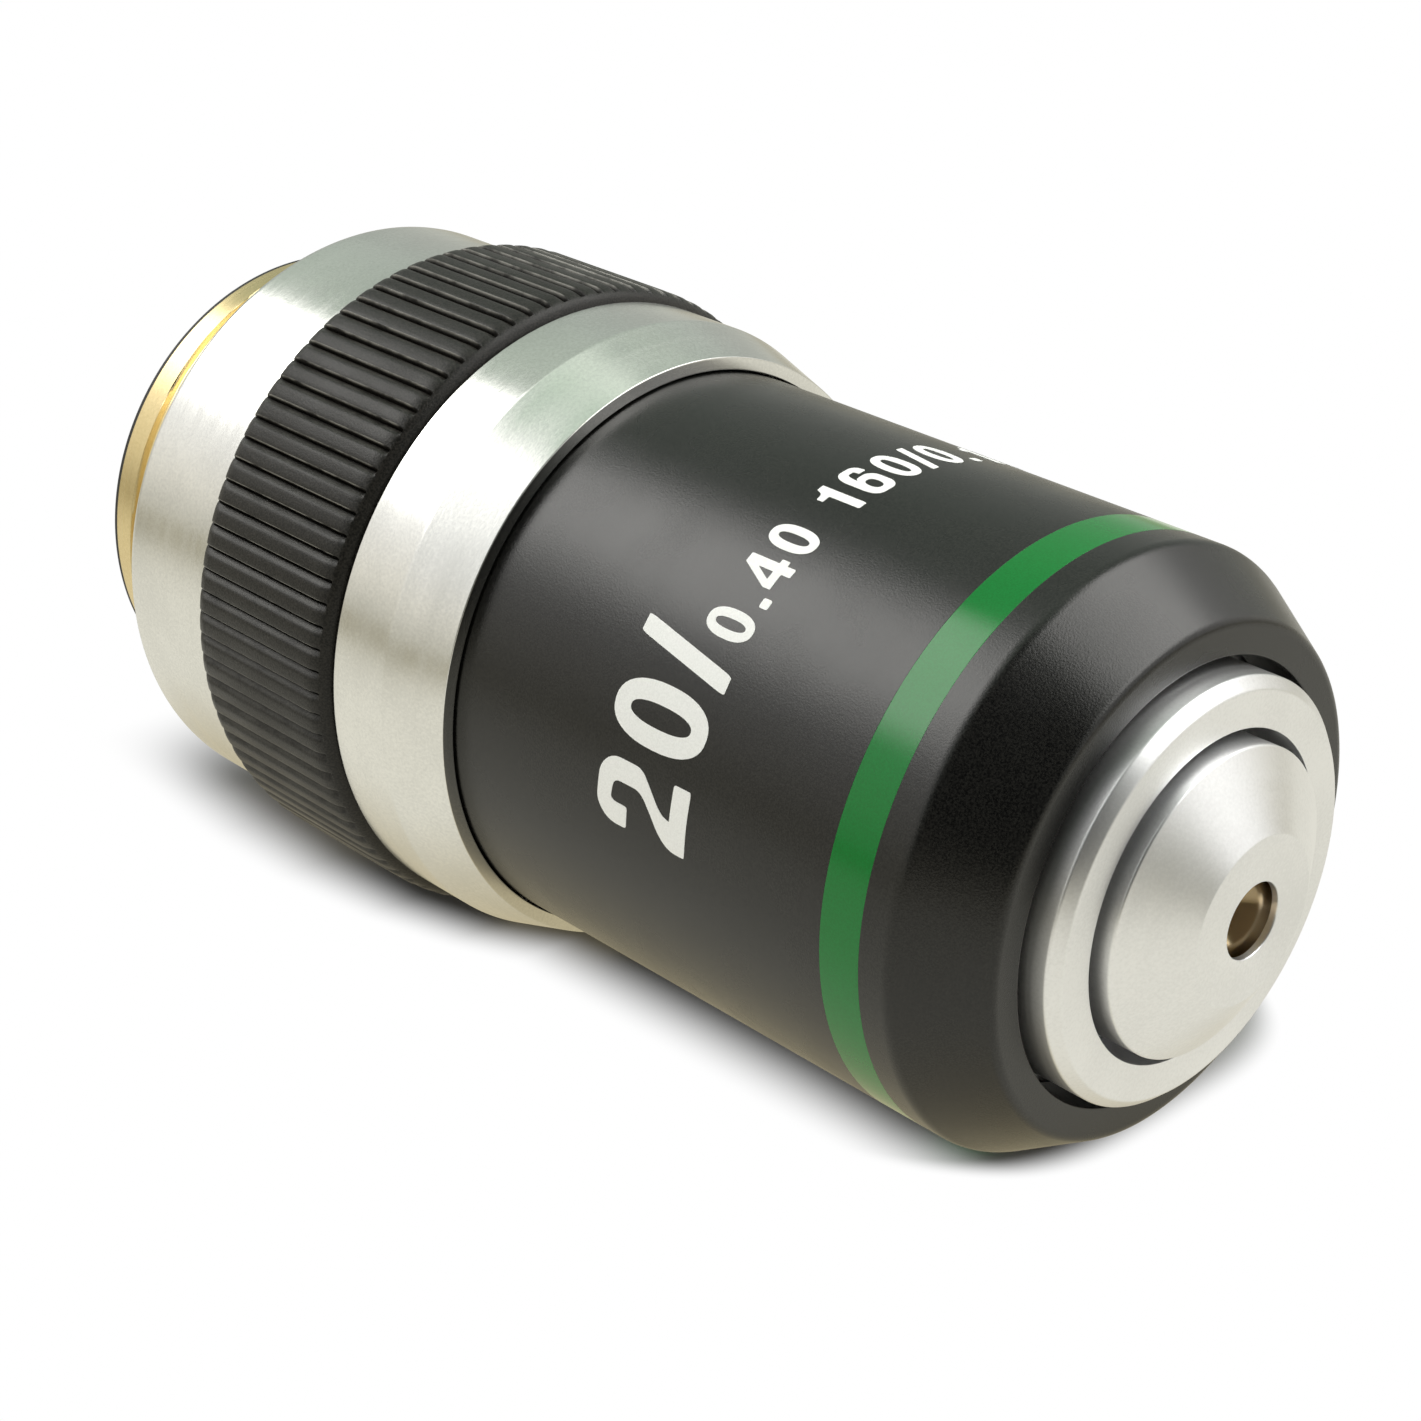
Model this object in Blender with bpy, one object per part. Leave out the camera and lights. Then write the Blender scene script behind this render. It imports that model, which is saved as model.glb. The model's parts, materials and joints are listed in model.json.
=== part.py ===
# Microscope objective with a sprung nose, built from its turned pieces.
# Metres. +Z runs along the optical axis from the mounting thread to the nose.
# The origin is the middle of the thread's end face, on which the objective stands.

import math

import bmesh
import bpy
from mathutils import Matrix, Vector

MM = 0.001

# Clearances
FIT_GAP = 0.30 * MM       # between turned pieces that fit inside one another
SEAT_GAP = 0.30 * MM      # between end faces that seat on one another
SEAM_GAP = 0.15 * MM      # at the seams that show from outside
CEMENT_GAP = 0.15 * MM    # between the two glasses of a doublet
ENAMEL_GAP = 0.05 * MM    # round the enamel in its groove
MERGE = 0.0001 * MM       # points closer than this are one point

# Mounting thread, 0.8 inch with 36 turns to the inch: every other radius follows from it
THREAD_R = 10.16 * MM
THREAD_LENGTH = 2.44 * MM     # from the pilot to the mounting shoulder
THREAD_LEAD = 0.35 * MM       # bevel at the start of the thread
PILOT_STEP = 0.78 * MM        # the plain pilot lies this far inside the thread's crests
PILOT_LENGTH = 1.86 * MM
PILOT_BEVEL = 0.15 * MM

# Mounting tube, the long part of the threaded barrel
TUBE_STEP = 0.96 * MM         # from the thread's crests in to the tube
TUBE_REAR_WALL = 0.60 * MM
TUBE_WALL = 1.64 * MM         # along the stretch that guides the nose
TUBE_SHELF = 0.30 * MM        # rim that the front sleeve bottoms on
TUBE_EASE = 0.15 * MM
GUIDE_LENGTH = 11.00 * MM

# Nose barrel, the piece that slides
NOSE_WALL = 1.06 * MM
NOSE_PROUD = 1.08 * MM        # nose face beyond the sleeve's face
NOSE_MOUTH_DEPTH = 2.68 * MM
NOSE_BEVEL = 0.37 * MM
NOSE_FLANGE_LENGTH = 2.00 * MM
NOSE_TAIL = 2.60 * MM         # barrel behind the last ring of the lens stack
NOSE_TRAVEL = 2.50 * MM

# Front lens cell
FLANGE_STEP = 0.64 * MM       # flange beyond the cell's cylinder
MOUTH_GAP = 0.38 * MM         # open ring between the front cell and the nose barrel
CELL_PROUD = 0.45 * MM        # its cylinder beyond the nose face
CELL_CONE_LENGTH = 1.40 * MM
CELL_TIP_R = 2.87 * MM
CELL_HOLE_R = 1.30 * MM
CELL_EDGE_EASE = 0.12 * MM
CELL_HOLE_EASE = 0.08 * MM
CELL_LIP = 0.25 * MM          # metal in front of the front lens
CELL_FLANGE_LENGTH = 2.00 * MM

# Front sleeve, the black barrel
SLEEVE_MOUTH_GAP = 0.36 * MM
SLEEVE_WALL = 1.55 * MM
SLEEVE_EXPOSED = 19.87 * MM   # from the silver shell to the start of the cone
SLEEVE_CONE_LENGTH = 2.73 * MM
SLEEVE_CONE_DROP = 1.70 * MM  # loss of radius along the cone
SLEEVE_MOUTH_DEPTH = 2.00 * MM
SLEEVE_SKIRT = 8.00 * MM      # screwed length over the mounting tube
CORNER_ROUND = 0.20 * MM       # both corners of the cone
BAND_WIDTH = 1.51 * MM
BAND_TO_CONE = 1.18 * MM
BAND_GROOVE = 0.25 * MM
BAND_THICKNESS = 0.20 * MM

# Shoulder ring, the silver collar behind the grip ring
COLLAR_LENGTH = 5.00 * MM     # mounting shoulder to grip ring
COLLAR_DROP = 0.13 * MM       # its radius is this much less than the shell's
COLLAR_BEVEL = 0.25 * MM
COLLAR_RECESS = 0.60 * MM     # it reaches this far over the end of the thread

# Rear shell, the silver body
SHELL_WALL = 0.93 * MM        # round the sleeve's socket
SHELL_STEP_FACE = 0.39 * MM
SHELL_LAND = 2.67 * MM        # grip ring to taper
SHELL_TAPER = 2.43 * MM
SHELL_SHELF = 1.00 * MM       # metal between the grip's seat and the sleeve's socket
SHELL_LIP = 0.80 * MM
SHIM_THICKNESS = 0.50 * MM

# Grip ring with straight knurling
GRIP_WIDTH = 7.45 * MM
GRIP_SEAT_WALL = 1.10 * MM    # shell left under the ring
GRIP_PROUD = 0.42 * MM        # crests beyond the shell
GRIP_RIM = 0.90 * MM          # smooth bevelled rim at the front
GROOVE_DEPTH = 0.38 * MM
GROOVE_SHARE = 0.44           # of the pitch; the flat-topped ridge has the rest
GROOVE_RUNOUT = 0.35 * MM
GROOVE_COUNT = 90

# Lens stack
FRONT_LENS_R = 2.20 * MM
FRONT_LENS_EDGE = 0.60 * MM
FRONT_LENS_DOME = 1.35 * MM
STACK_CELL_WALL = 1.30 * MM
LENS_LIP = 0.40 * MM          # how far a lip or ring overlaps its glass
LIP_THICKNESS = 0.50 * MM
FLINT_CENTRE = 0.90 * MM
CROWN_EDGE = 0.50 * MM
MIDDLE_BOND_DOME = 1.45 * MM
MIDDLE_BACK_DOME = 1.10 * MM
REAR_BOND_DOME = 1.20 * MM
REAR_BACK_DOME = 0.85 * MM
RETAINER_LENGTH = 1.00 * MM
RETAINER_INSET = 0.20 * MM
FRONT_SPACER = 3.20 * MM
REAR_SPACER = 4.60 * MM
SPACER_WALL = 1.00 * MM
STOP_THICKNESS = 0.60 * MM
STOP_HOLE_R = 3.20 * MM
LOCK_RING_LENGTH = 2.00 * MM
SPANNER_SLOT_WIDTH = 1.20 * MM
SPANNER_SLOT_DEPTH = 0.60 * MM

# Spring and guide screw
SEAT_RING_LENGTH = 0.60 * MM
SPRING_WIRE_R = 0.30 * MM
SPRING_TURNS = 6.5
SPRING_END_PITCH = 0.85 * MM
SCREW_R = 0.70 * MM
SCREW_FROM_TUBE_END = 7.00 * MM
SCREW_SUNK = 0.10 * MM
SCREW_SLOT = 0.30 * MM
KEYWAY_FLOOR = 0.40 * MM      # metal left under the keyway

# Facets round each kind of piece
BODY_SEGMENTS = 60
NOSE_SEGMENTS = 48
CELL_SEGMENTS = 40
SEAT_SEGMENTS = 36
STACK_SEGMENTS = 28
LENS_SEGMENTS = 22
LENS_RINGS = 3
SCREW_SEGMENTS = 16
WIRE_STEPS_PER_TURN = 14
SHARP_ANGLE = math.radians(32)

# Radii, worked inwards from the thread to the lenses
pilot_r = THREAD_R - PILOT_STEP
tube_r = THREAD_R - TUBE_STEP
rear_bore_r = tube_r - TUBE_REAR_WALL
guide_bore_r = tube_r - TUBE_WALL
nose_r = guide_bore_r - FIT_GAP
nose_bore_r = nose_r - NOSE_WALL
stack_r = nose_bore_r - FIT_GAP
cell_r = stack_r - FLANGE_STEP
nose_mouth_r = cell_r + MOUTH_GAP
doublet_r = stack_r - STACK_CELL_WALL - FIT_GAP
keyway_floor_r = nose_bore_r + KEYWAY_FLOOR

# Radii, worked outwards from the mounting tube to the grip ring
sleeve_mouth_r = nose_r + SLEEVE_MOUTH_GAP
sleeve_bore_r = tube_r - TUBE_SHELF
nose_flange_r = sleeve_bore_r - FIT_GAP
sleeve_r = sleeve_bore_r + SLEEVE_WALL
cone_end_r = sleeve_r - SLEEVE_CONE_DROP
skirt_bore_r = tube_r + FIT_GAP
shell_bore_r = tube_r + FIT_GAP
shell_socket_r = sleeve_r + FIT_GAP
shell_lip_r = sleeve_r + SEAM_GAP
shell_r = shell_socket_r + SHELL_WALL
collar_r = shell_r - COLLAR_DROP
collar_recess_r = THREAD_R + FIT_GAP
grip_seat_r = shell_bore_r + GRIP_SEAT_WALL
grip_bore_r = grip_seat_r + FIT_GAP
grip_crest_r = shell_r + GRIP_PROUD

# Heights, worked upwards from the thread's end face
shoulder_z = PILOT_LENGTH + THREAD_LENGTH
ledge_z = shoulder_z + COLLAR_RECESS
grip_rear_z = shoulder_z + COLLAR_LENGTH
grip_front_z = grip_rear_z + GRIP_WIDTH
land_z = grip_front_z + SEAM_GAP
taper_z = land_z + SHELL_LAND
shell_front_z = taper_z + SHELL_TAPER
shelf_z = land_z + SHELL_SHELF
shim_z = shelf_z + SEAT_GAP
sleeve_rear_z = shim_z + SHIM_THICKNESS + SEAT_GAP
tube_end_z = sleeve_rear_z + SLEEVE_SKIRT
guide_rear_z = tube_end_z - GUIDE_LENGTH
cone_z = shell_front_z + SLEEVE_EXPOSED
sleeve_face_z = cone_z + SLEEVE_CONE_LENGTH
nose_stop_z = sleeve_face_z - SLEEVE_MOUTH_DEPTH
nose_flange_z = nose_stop_z - SEAT_GAP
nose_flange_rear_z = nose_flange_z - NOSE_FLANGE_LENGTH
nose_face_z = sleeve_face_z + NOSE_PROUD
nose_seat_z = nose_face_z - NOSE_MOUTH_DEPTH
cell_edge_z = nose_face_z + CELL_PROUD
cell_tip_z = cell_edge_z + CELL_CONE_LENGTH
band_front_z = cone_z - BAND_TO_CONE
band_rear_z = band_front_z - BAND_WIDTH
screw_z = tube_end_z - SCREW_FROM_TUBE_END


def material(name, colour, roughness, metallic, transmission=0.0):
    """A Principled material, made once for each finish."""
    found = bpy.data.materials.get(name)
    if found:
        return found
    made = bpy.data.materials.new(name)
    made.use_nodes = True
    made.diffuse_color = (*colour, 1.0)
    shader = made.node_tree.nodes["Principled BSDF"]
    shader.inputs["Base Color"].default_value = (*colour, 1.0)
    shader.inputs["Roughness"].default_value = roughness
    shader.inputs["Metallic"].default_value = metallic
    shader.inputs["Transmission Weight"].default_value = transmission
    return made


def thread_brass():
    return material("thread_brass", (0.78, 0.60, 0.30), 0.28, 1.0)


def satin_nickel():
    return material("satin_nickel", (0.74, 0.74, 0.71), 0.24, 1.0)


def sleeve_black():
    return material("sleeve_black", (0.030, 0.030, 0.027), 0.42, 0.0)


def grip_black():
    return material("grip_black", (0.022, 0.021, 0.019), 0.55, 0.0)


def band_green():
    return material("band_green", (0.010, 0.270, 0.045), 0.35, 0.0)


def cell_black():
    return material("cell_black", (0.020, 0.020, 0.022), 0.60, 0.3)


def spring_steel():
    return material("spring_steel", (0.55, 0.56, 0.58), 0.30, 1.0)


def coated_glass():
    return material("coated_glass", (0.86, 0.80, 0.70), 0.02, 0.0, 1.0)


def eased(corners, steps=0):
    """A closed outline from corners (r, z) or (r, z, ease): an ease cuts or rounds its corner."""
    outline = []
    for index, corner in enumerate(corners):
        here = Vector(corner[:2])
        if len(corner) < 3:
            outline.append(tuple(here))
            continue
        before = Vector(corners[index - 1][:2])
        after = Vector(corners[(index + 1) % len(corners)][:2])
        start = here + (before - here).normalized() * corner[2]
        end = here + (after - here).normalized() * corner[2]
        for step in range(steps + 2):
            part = step / (steps + 1)
            point = start * (1 - part) ** 2 + here * 2 * part * (1 - part) + end * part ** 2
            outline.append(tuple(point))
    return outline


def add_object(name, data, finish, parent):
    """Link a finished mesh or curve as one named piece."""
    piece = bpy.data.objects.new(name, data)
    data.materials.append(finish)
    bpy.context.collection.objects.link(piece)
    piece.parent = parent
    return piece


def smooth_mesh(name, shape):
    """Turn a bmesh into a mesh that is smooth round the axis and sharp at its edges."""
    bmesh.ops.remove_doubles(shape, verts=shape.verts, dist=MERGE)
    bmesh.ops.recalc_face_normals(shape, faces=shape.faces)
    mesh = bpy.data.meshes.new(name)
    shape.to_mesh(mesh)
    shape.free()
    mesh.shade_smooth()
    mesh.set_sharp_from_angle(angle=SHARP_ANGLE)
    return mesh


def turned(name, outline, segments, finish, parent=None):
    """Spin an outline of (radius, height) points into a solid, as on a lathe."""
    shape = bmesh.new()
    points = [shape.verts.new((r, 0.0, z)) for r, z in outline]
    sides = []
    for index, point in enumerate(points):
        before = points[index - 1]
        if point.co.x > MERGE or before.co.x > MERGE:
            sides.append(shape.edges.new((before, point)))
    bmesh.ops.spin(shape, geom=points + sides, cent=(0, 0, 0), axis=(0, 0, 1),
                   angle=2 * math.pi, steps=segments, use_merge=True)
    return add_object(name, smooth_mesh(name, shape), finish, parent)


def ring(name, inner, outer, low, high, segments, finish, parent=None, ease=0.0):
    """A plain ring, with its outer edges eased where asked."""
    corners = [(inner, low), (outer, low, ease), (outer, high, ease), (inner, high)]
    if ease == 0.0:
        corners = [corner[:2] for corner in corners]
    return turned(name, eased(corners), segments, finish, parent)


def cutter_box(name, size, place):
    """A box that only cuts."""
    shape = bmesh.new()
    bmesh.ops.create_cube(shape, size=1.0, matrix=Matrix.Translation(place) @ Matrix.Diagonal((*size, 1.0)))
    return finish_cutter(name, shape)


def cutter_rod(name, radius, start, end):
    """A round rod along +Y that only cuts."""
    shape = bmesh.new()
    middle = (Vector(start) + Vector(end)) / 2
    turn = Matrix.Rotation(math.radians(90), 4, "X")
    bmesh.ops.create_cone(shape, cap_ends=True, segments=SCREW_SEGMENTS, radius1=radius, radius2=radius,
                          depth=(Vector(end) - Vector(start)).length,
                          matrix=Matrix.Translation(middle) @ turn)
    return finish_cutter(name, shape)


def finish_cutter(name, shape):
    mesh = bpy.data.meshes.new(name)
    shape.to_mesh(mesh)
    shape.free()
    cutter = bpy.data.objects.new(name, mesh)
    bpy.context.collection.objects.link(cutter)
    cutter.hide_render = True
    cutter.display_type = "WIRE"
    return cutter


def cut(piece, cutter):
    """Take the cutter's shape out of the piece."""
    difference = piece.modifiers.new(cutter.name, "BOOLEAN")
    difference.operation = "DIFFERENCE"
    difference.solver = "EXACT"
    difference.object = cutter
    cutter.parent = piece.parent


def spanner_slots(piece, outer, low):
    """Two slots across the rear face of a ring, for a pin spanner."""
    size = (2 * (outer + FIT_GAP), SPANNER_SLOT_WIDTH, 2 * SPANNER_SLOT_DEPTH)
    cut(piece, cutter_box(piece.name + "_slots", size, (0, 0, low)))


def dome_height(radius, dome, at):
    """Height of a domed face above its rim, at a distance from the axis."""
    if dome == 0.0:
        return 0.0
    curve = (radius ** 2 + dome ** 2) / (2 * abs(dome))
    height = abs(dome) - (curve - math.sqrt(curve ** 2 - at ** 2))
    return math.copysign(height, dome)


def lens(name, radius, rim_z, edge, front_dome, rear_dome, parent):
    """A glass between two domed faces: a dome above zero bulges outwards, below zero it is hollow."""
    steps = [radius * step / LENS_RINGS for step in range(LENS_RINGS + 1)]
    front = [(r, rim_z + dome_height(radius, front_dome, r)) for r in steps]
    rear = [(r, rim_z - edge - dome_height(radius, rear_dome, r)) for r in reversed(steps)]
    return turned(name, front + rear, LENS_SEGMENTS, coated_glass(), parent)


def make_mount_barrel():
    """Brass barrel: the pilot, the mounting thread and the long tube that carries everything."""
    step_z = ledge_z - SEAT_GAP
    neck_z = guide_rear_z - (rear_bore_r - guide_bore_r)
    corners = [
        (rear_bore_r, 0.0),
        (pilot_r, 0.0, PILOT_BEVEL),
        (pilot_r, PILOT_LENGTH),
        (THREAD_R, PILOT_LENGTH, THREAD_LEAD),
        (THREAD_R, step_z),
        (tube_r, step_z),
        (tube_r, tube_end_z, TUBE_EASE),
        (guide_bore_r, tube_end_z),
        (guide_bore_r, guide_rear_z),
        (rear_bore_r, neck_z),
    ]
    barrel = turned("mount_barrel", eased(corners), NOSE_SEGMENTS, thread_brass())
    inner = (0, guide_bore_r - FIT_GAP, screw_z)
    outer = (0, tube_r + FIT_GAP, screw_z)
    cut(barrel, cutter_rod("guide_screw_hole", SCREW_R + FIT_GAP, inner, outer))


def make_shoulder_ring():
    """Silver collar on the mounting tube: its rear face is the mounting shoulder."""
    front_z = grip_rear_z - SEAM_GAP
    corners = [
        (shell_bore_r, ledge_z),
        (collar_recess_r, ledge_z),
        (collar_recess_r, shoulder_z),
        (collar_r, shoulder_z, COLLAR_BEVEL),
        (collar_r, front_z),
        (shell_bore_r, front_z),
    ]
    turned("shoulder_ring", eased(corners), BODY_SEGMENTS, satin_nickel())


def make_rear_shell():
    """Silver shell: seat for the grip ring, taper and the socket for the sleeve."""
    seat_rear_z = grip_rear_z + SEAM_GAP
    lip_z = shell_front_z - SHELL_LIP
    corners = [
        (shell_bore_r, seat_rear_z),
        (grip_seat_r, seat_rear_z),
        (grip_seat_r, land_z),
        (shell_r, land_z),
        (shell_r, taper_z),
        (shell_lip_r + SHELL_STEP_FACE, shell_front_z),
        (shell_lip_r, shell_front_z),
        (shell_lip_r, lip_z),
        (shell_socket_r, lip_z),
        (shell_socket_r, shelf_z),
        (shell_bore_r, shelf_z),
    ]
    turned("rear_shell", eased(corners), BODY_SEGMENTS, satin_nickel())


def make_grip_ring():
    """Black grip ring: V grooves between flat-topped ridges, and a smooth bevelled rim in front."""
    groove_end_z = grip_front_z - GRIP_RIM
    tooth = [(0.0, GROOVE_DEPTH), (GROOVE_SHARE / 2, 0.0), (1 - GROOVE_SHARE / 2, 0.0)]
    levels = [
        (grip_rear_z, grip_crest_r, 1.0),
        (groove_end_z - GROOVE_RUNOUT, grip_crest_r, 1.0),
        (groove_end_z, grip_crest_r, 0.0),
        (grip_front_z, shell_r, 0.0),
    ]
    shape = bmesh.new()

    def point(turn, radius, z):
        angle = 2 * math.pi * turn / GROOVE_COUNT
        return shape.verts.new((radius * math.cos(angle), radius * math.sin(angle), z))

    rows = []
    for z, crest, share in levels:
        row = []
        for groove in range(GROOVE_COUNT):
            row += [point(groove + place, crest - drop * share, z) for place, drop in tooth]
        rows.append(row)
    bore_low = [point(groove, grip_bore_r, grip_rear_z) for groove in range(GROOVE_COUNT)]
    bore_high = [point(groove, grip_bore_r, grip_front_z) for groove in range(GROOVE_COUNT)]

    around = len(tooth) * GROOVE_COUNT
    for low, high in zip(rows, rows[1:]):
        for index in range(around):
            beside = (index + 1) % around
            shape.faces.new((low[index], low[beside], high[beside], high[index]))
    for groove in range(GROOVE_COUNT):
        beside = (groove + 1) % GROOVE_COUNT
        shape.faces.new((bore_low[beside], bore_low[groove], bore_high[groove], bore_high[beside]))
        first = groove * len(tooth)
        arc = [(first + step) % around for step in range(len(tooth) + 1)]
        shape.faces.new([bore_low[groove], bore_low[beside]] + [rows[0][index] for index in reversed(arc)])
        shape.faces.new([bore_high[beside], bore_high[groove]] + [rows[-1][index] for index in arc])
    add_object("grip_ring", smooth_mesh("grip_ring", shape), grip_black(), None)


def make_parfocal_shim():
    """Thin ring between the shell and the sleeve, chosen to set the focus height."""
    ring("parfocal_shim", skirt_bore_r, sleeve_r, shim_z, shim_z + SHIM_THICKNESS,
         STACK_SEGMENTS, thread_brass())


def make_front_sleeve():
    """Black sleeve: long cylinder with the band groove, cone, mouth and spring chamber."""
    groove_r = sleeve_r - BAND_GROOVE
    corners = [
        (skirt_bore_r, sleeve_rear_z),
        (sleeve_r, sleeve_rear_z),
        (sleeve_r, band_rear_z - ENAMEL_GAP),
        (groove_r, band_rear_z - ENAMEL_GAP),
        (groove_r, band_front_z + ENAMEL_GAP),
        (sleeve_r, band_front_z + ENAMEL_GAP),
        (sleeve_r, cone_z, CORNER_ROUND),
        (cone_end_r, sleeve_face_z, CORNER_ROUND),
        (sleeve_mouth_r, sleeve_face_z),
        (sleeve_mouth_r, nose_stop_z),
        (sleeve_bore_r, nose_stop_z),
        (sleeve_bore_r, tube_end_z + SEAT_GAP),
        (skirt_bore_r, tube_end_z + SEAT_GAP),
    ]
    turned("front_sleeve", eased(corners, steps=1), BODY_SEGMENTS, sleeve_black())


def make_colour_band():
    """Green enamel band that fills the groove of the sleeve."""
    ring("colour_band", sleeve_r - BAND_THICKNESS, sleeve_r, band_rear_z, band_front_z,
         BODY_SEGMENTS, band_green())


def make_nose_barrel(slide):
    """Silver inner barrel: it slides in the mounting tube and holds the lens stack."""
    corners = [
        (nose_bore_r, nose_rear_z),
        (nose_r, nose_rear_z, NOSE_BEVEL),
        (nose_r, nose_flange_rear_z),
        (nose_flange_r, nose_flange_rear_z),
        (nose_flange_r, nose_flange_z),
        (nose_r, nose_flange_z),
        (nose_r, nose_face_z, NOSE_BEVEL),
        (nose_mouth_r, nose_face_z),
        (nose_mouth_r, nose_seat_z),
        (nose_bore_r, nose_seat_z),
    ]
    barrel = turned("nose_barrel", eased(corners), NOSE_SEGMENTS, satin_nickel(), slide)
    low = screw_z - SCREW_R - FIT_GAP
    high = screw_z + SCREW_R + FIT_GAP + NOSE_TRAVEL
    depth = 2 * (nose_r - keyway_floor_r)
    place = (0, keyway_floor_r + depth / 2, (low + high) / 2)
    cut(barrel, cutter_box("keyway", (2 * (SCREW_R + FIT_GAP), depth, high - low), place))


def make_front_cell(slide):
    """Silver cone at the tip, which holds the front lens."""
    flange_z = nose_seat_z - SEAT_GAP
    lens_rear_z = cell_tip_z - CELL_LIP - SEAM_GAP - FRONT_LENS_EDGE
    pocket_r = FRONT_LENS_R + FIT_GAP
    pocket_z = lens_rear_z - FRONT_LENS_DOME
    corners = [
        (stack_r - SPACER_WALL, front_cell_rear_z),
        (stack_r, front_cell_rear_z),
        (stack_r, flange_z),
        (cell_r, flange_z),
        (cell_r, cell_edge_z, CELL_EDGE_EASE),
        (CELL_TIP_R, cell_tip_z),
        (CELL_HOLE_R, cell_tip_z, CELL_HOLE_EASE),
        (CELL_HOLE_R, cell_tip_z - CELL_LIP),
        (pocket_r, cell_tip_z - CELL_LIP),
        (pocket_r, pocket_z),
    ]
    turned("front_cell", eased(corners), CELL_SEGMENTS, satin_nickel(), slide)
    rim_z = cell_tip_z - CELL_LIP - SEAM_GAP
    lens("front_lens", FRONT_LENS_R, rim_z, FRONT_LENS_EDGE, 0.0, FRONT_LENS_DOME, slide)


def doublet_length(bond_dome, back_dome):
    """Length of a lens cell that holds a flint, a crown and the ring behind them."""
    ring_height = dome_height(doublet_r, back_dome, doublet_r - LENS_LIP)
    glass = FLINT_CENTRE + bond_dome + CEMENT_GAP + CROWN_EDGE
    return LIP_THICKNESS + SEAT_GAP + glass + ring_height + SEAT_GAP + RETAINER_LENGTH + RETAINER_INSET


def make_doublet_cell(label, top_z, bond_dome, back_dome, slide):
    """A lens cell with its flint, its crown and its threaded retaining ring."""
    bottom_z = top_z - doublet_length(bond_dome, back_dome)
    lip_r = doublet_r - LENS_LIP
    pocket_r = doublet_r + FIT_GAP
    corners = [
        (pocket_r, bottom_z),
        (stack_r, bottom_z),
        (stack_r, top_z),
        (lip_r, top_z),
        (lip_r, top_z - LIP_THICKNESS),
        (pocket_r, top_z - LIP_THICKNESS),
    ]
    turned(label + "_cell", corners, STACK_SEGMENTS, cell_black(), slide)
    flint_z = top_z - LIP_THICKNESS - SEAT_GAP
    flint_edge = FLINT_CENTRE + bond_dome
    crown_z = flint_z - flint_edge - CEMENT_GAP
    lens(label + "_flint", doublet_r, flint_z, flint_edge, 0.0, -bond_dome, slide)
    lens(label + "_crown", doublet_r, crown_z, CROWN_EDGE, bond_dome, back_dome, slide)
    low = bottom_z + RETAINER_INSET
    retainer = ring(label + "_retainer", lip_r, doublet_r, low, low + RETAINER_LENGTH,
                    STACK_SEGMENTS, cell_black(), slide)
    spanner_slots(retainer, doublet_r, low)


def make_lens_stack(slide):
    """Everything behind the front cell, down to the ring that locks the stack."""
    inner_r = stack_r - SPACER_WALL
    ring("front_spacer", inner_r, stack_r, front_spacer_z, front_spacer_z + FRONT_SPACER,
         STACK_SEGMENTS, cell_black(), slide)
    make_doublet_cell("middle", middle_cell_z, MIDDLE_BOND_DOME, MIDDLE_BACK_DOME, slide)
    ring("rear_spacer", inner_r, stack_r, rear_spacer_z, rear_spacer_z + REAR_SPACER,
         STACK_SEGMENTS, cell_black(), slide)
    make_doublet_cell("rear", rear_cell_z, REAR_BOND_DOME, REAR_BACK_DOME, slide)
    ring("pupil_stop", STOP_HOLE_R, stack_r, stop_z, stop_z + STOP_THICKNESS,
         STACK_SEGMENTS, cell_black(), slide)
    lock = ring("stack_lock_ring", stack_r - STACK_CELL_WALL, stack_r, lock_ring_z,
                lock_ring_z + LOCK_RING_LENGTH, STACK_SEGMENTS, cell_black(), slide)
    spanner_slots(lock, stack_r, lock_ring_z)


def make_spring(slide):
    """Return spring between two seat rings, one on the tube's end and one under the nose flange."""
    inner_r = nose_r + FIT_GAP
    outer_r = sleeve_bore_r - FIT_GAP
    low = tube_end_z + SEAT_GAP
    high = nose_flange_rear_z - SEAT_GAP
    ring("spring_seat_rear", inner_r, outer_r, low, low + SEAT_RING_LENGTH, SEAT_SEGMENTS, thread_brass())
    ring("spring_seat_front", inner_r, outer_r, high - SEAT_RING_LENGTH, high,
         SEAT_SEGMENTS, thread_brass(), slide)

    start = low + SEAT_RING_LENGTH + SEAT_GAP + SPRING_WIRE_R
    end = high - SEAT_RING_LENGTH - SEAT_GAP - SPRING_WIRE_R
    coil_r = (nose_r + sleeve_bore_r) / 2
    count = round(SPRING_TURNS * WIRE_STEPS_PER_TURN)
    open_pitch = (end - start - 2 * SPRING_END_PITCH) / (SPRING_TURNS - 2)

    def climb(turns):
        """Height after so many turns: close turns at both ends and open ones between."""
        closed = min(turns, 1.0) + max(turns - (SPRING_TURNS - 1), 0.0)
        return start + closed * SPRING_END_PITCH + (turns - closed) * open_pitch

    wire = bpy.data.curves.new("return_spring", "CURVE")
    wire.dimensions = "3D"
    wire.bevel_depth = SPRING_WIRE_R
    wire.bevel_resolution = 1
    wire.use_fill_caps = True
    path = wire.splines.new("POLY")
    path.points.add(count)
    for index, point in enumerate(path.points):
        turns = SPRING_TURNS * index / count
        angle = 2 * math.pi * turns
        point.co = (coil_r * math.cos(angle), coil_r * math.sin(angle), climb(turns), 1.0)
    add_object("return_spring", wire, spring_steel(), None)


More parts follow.
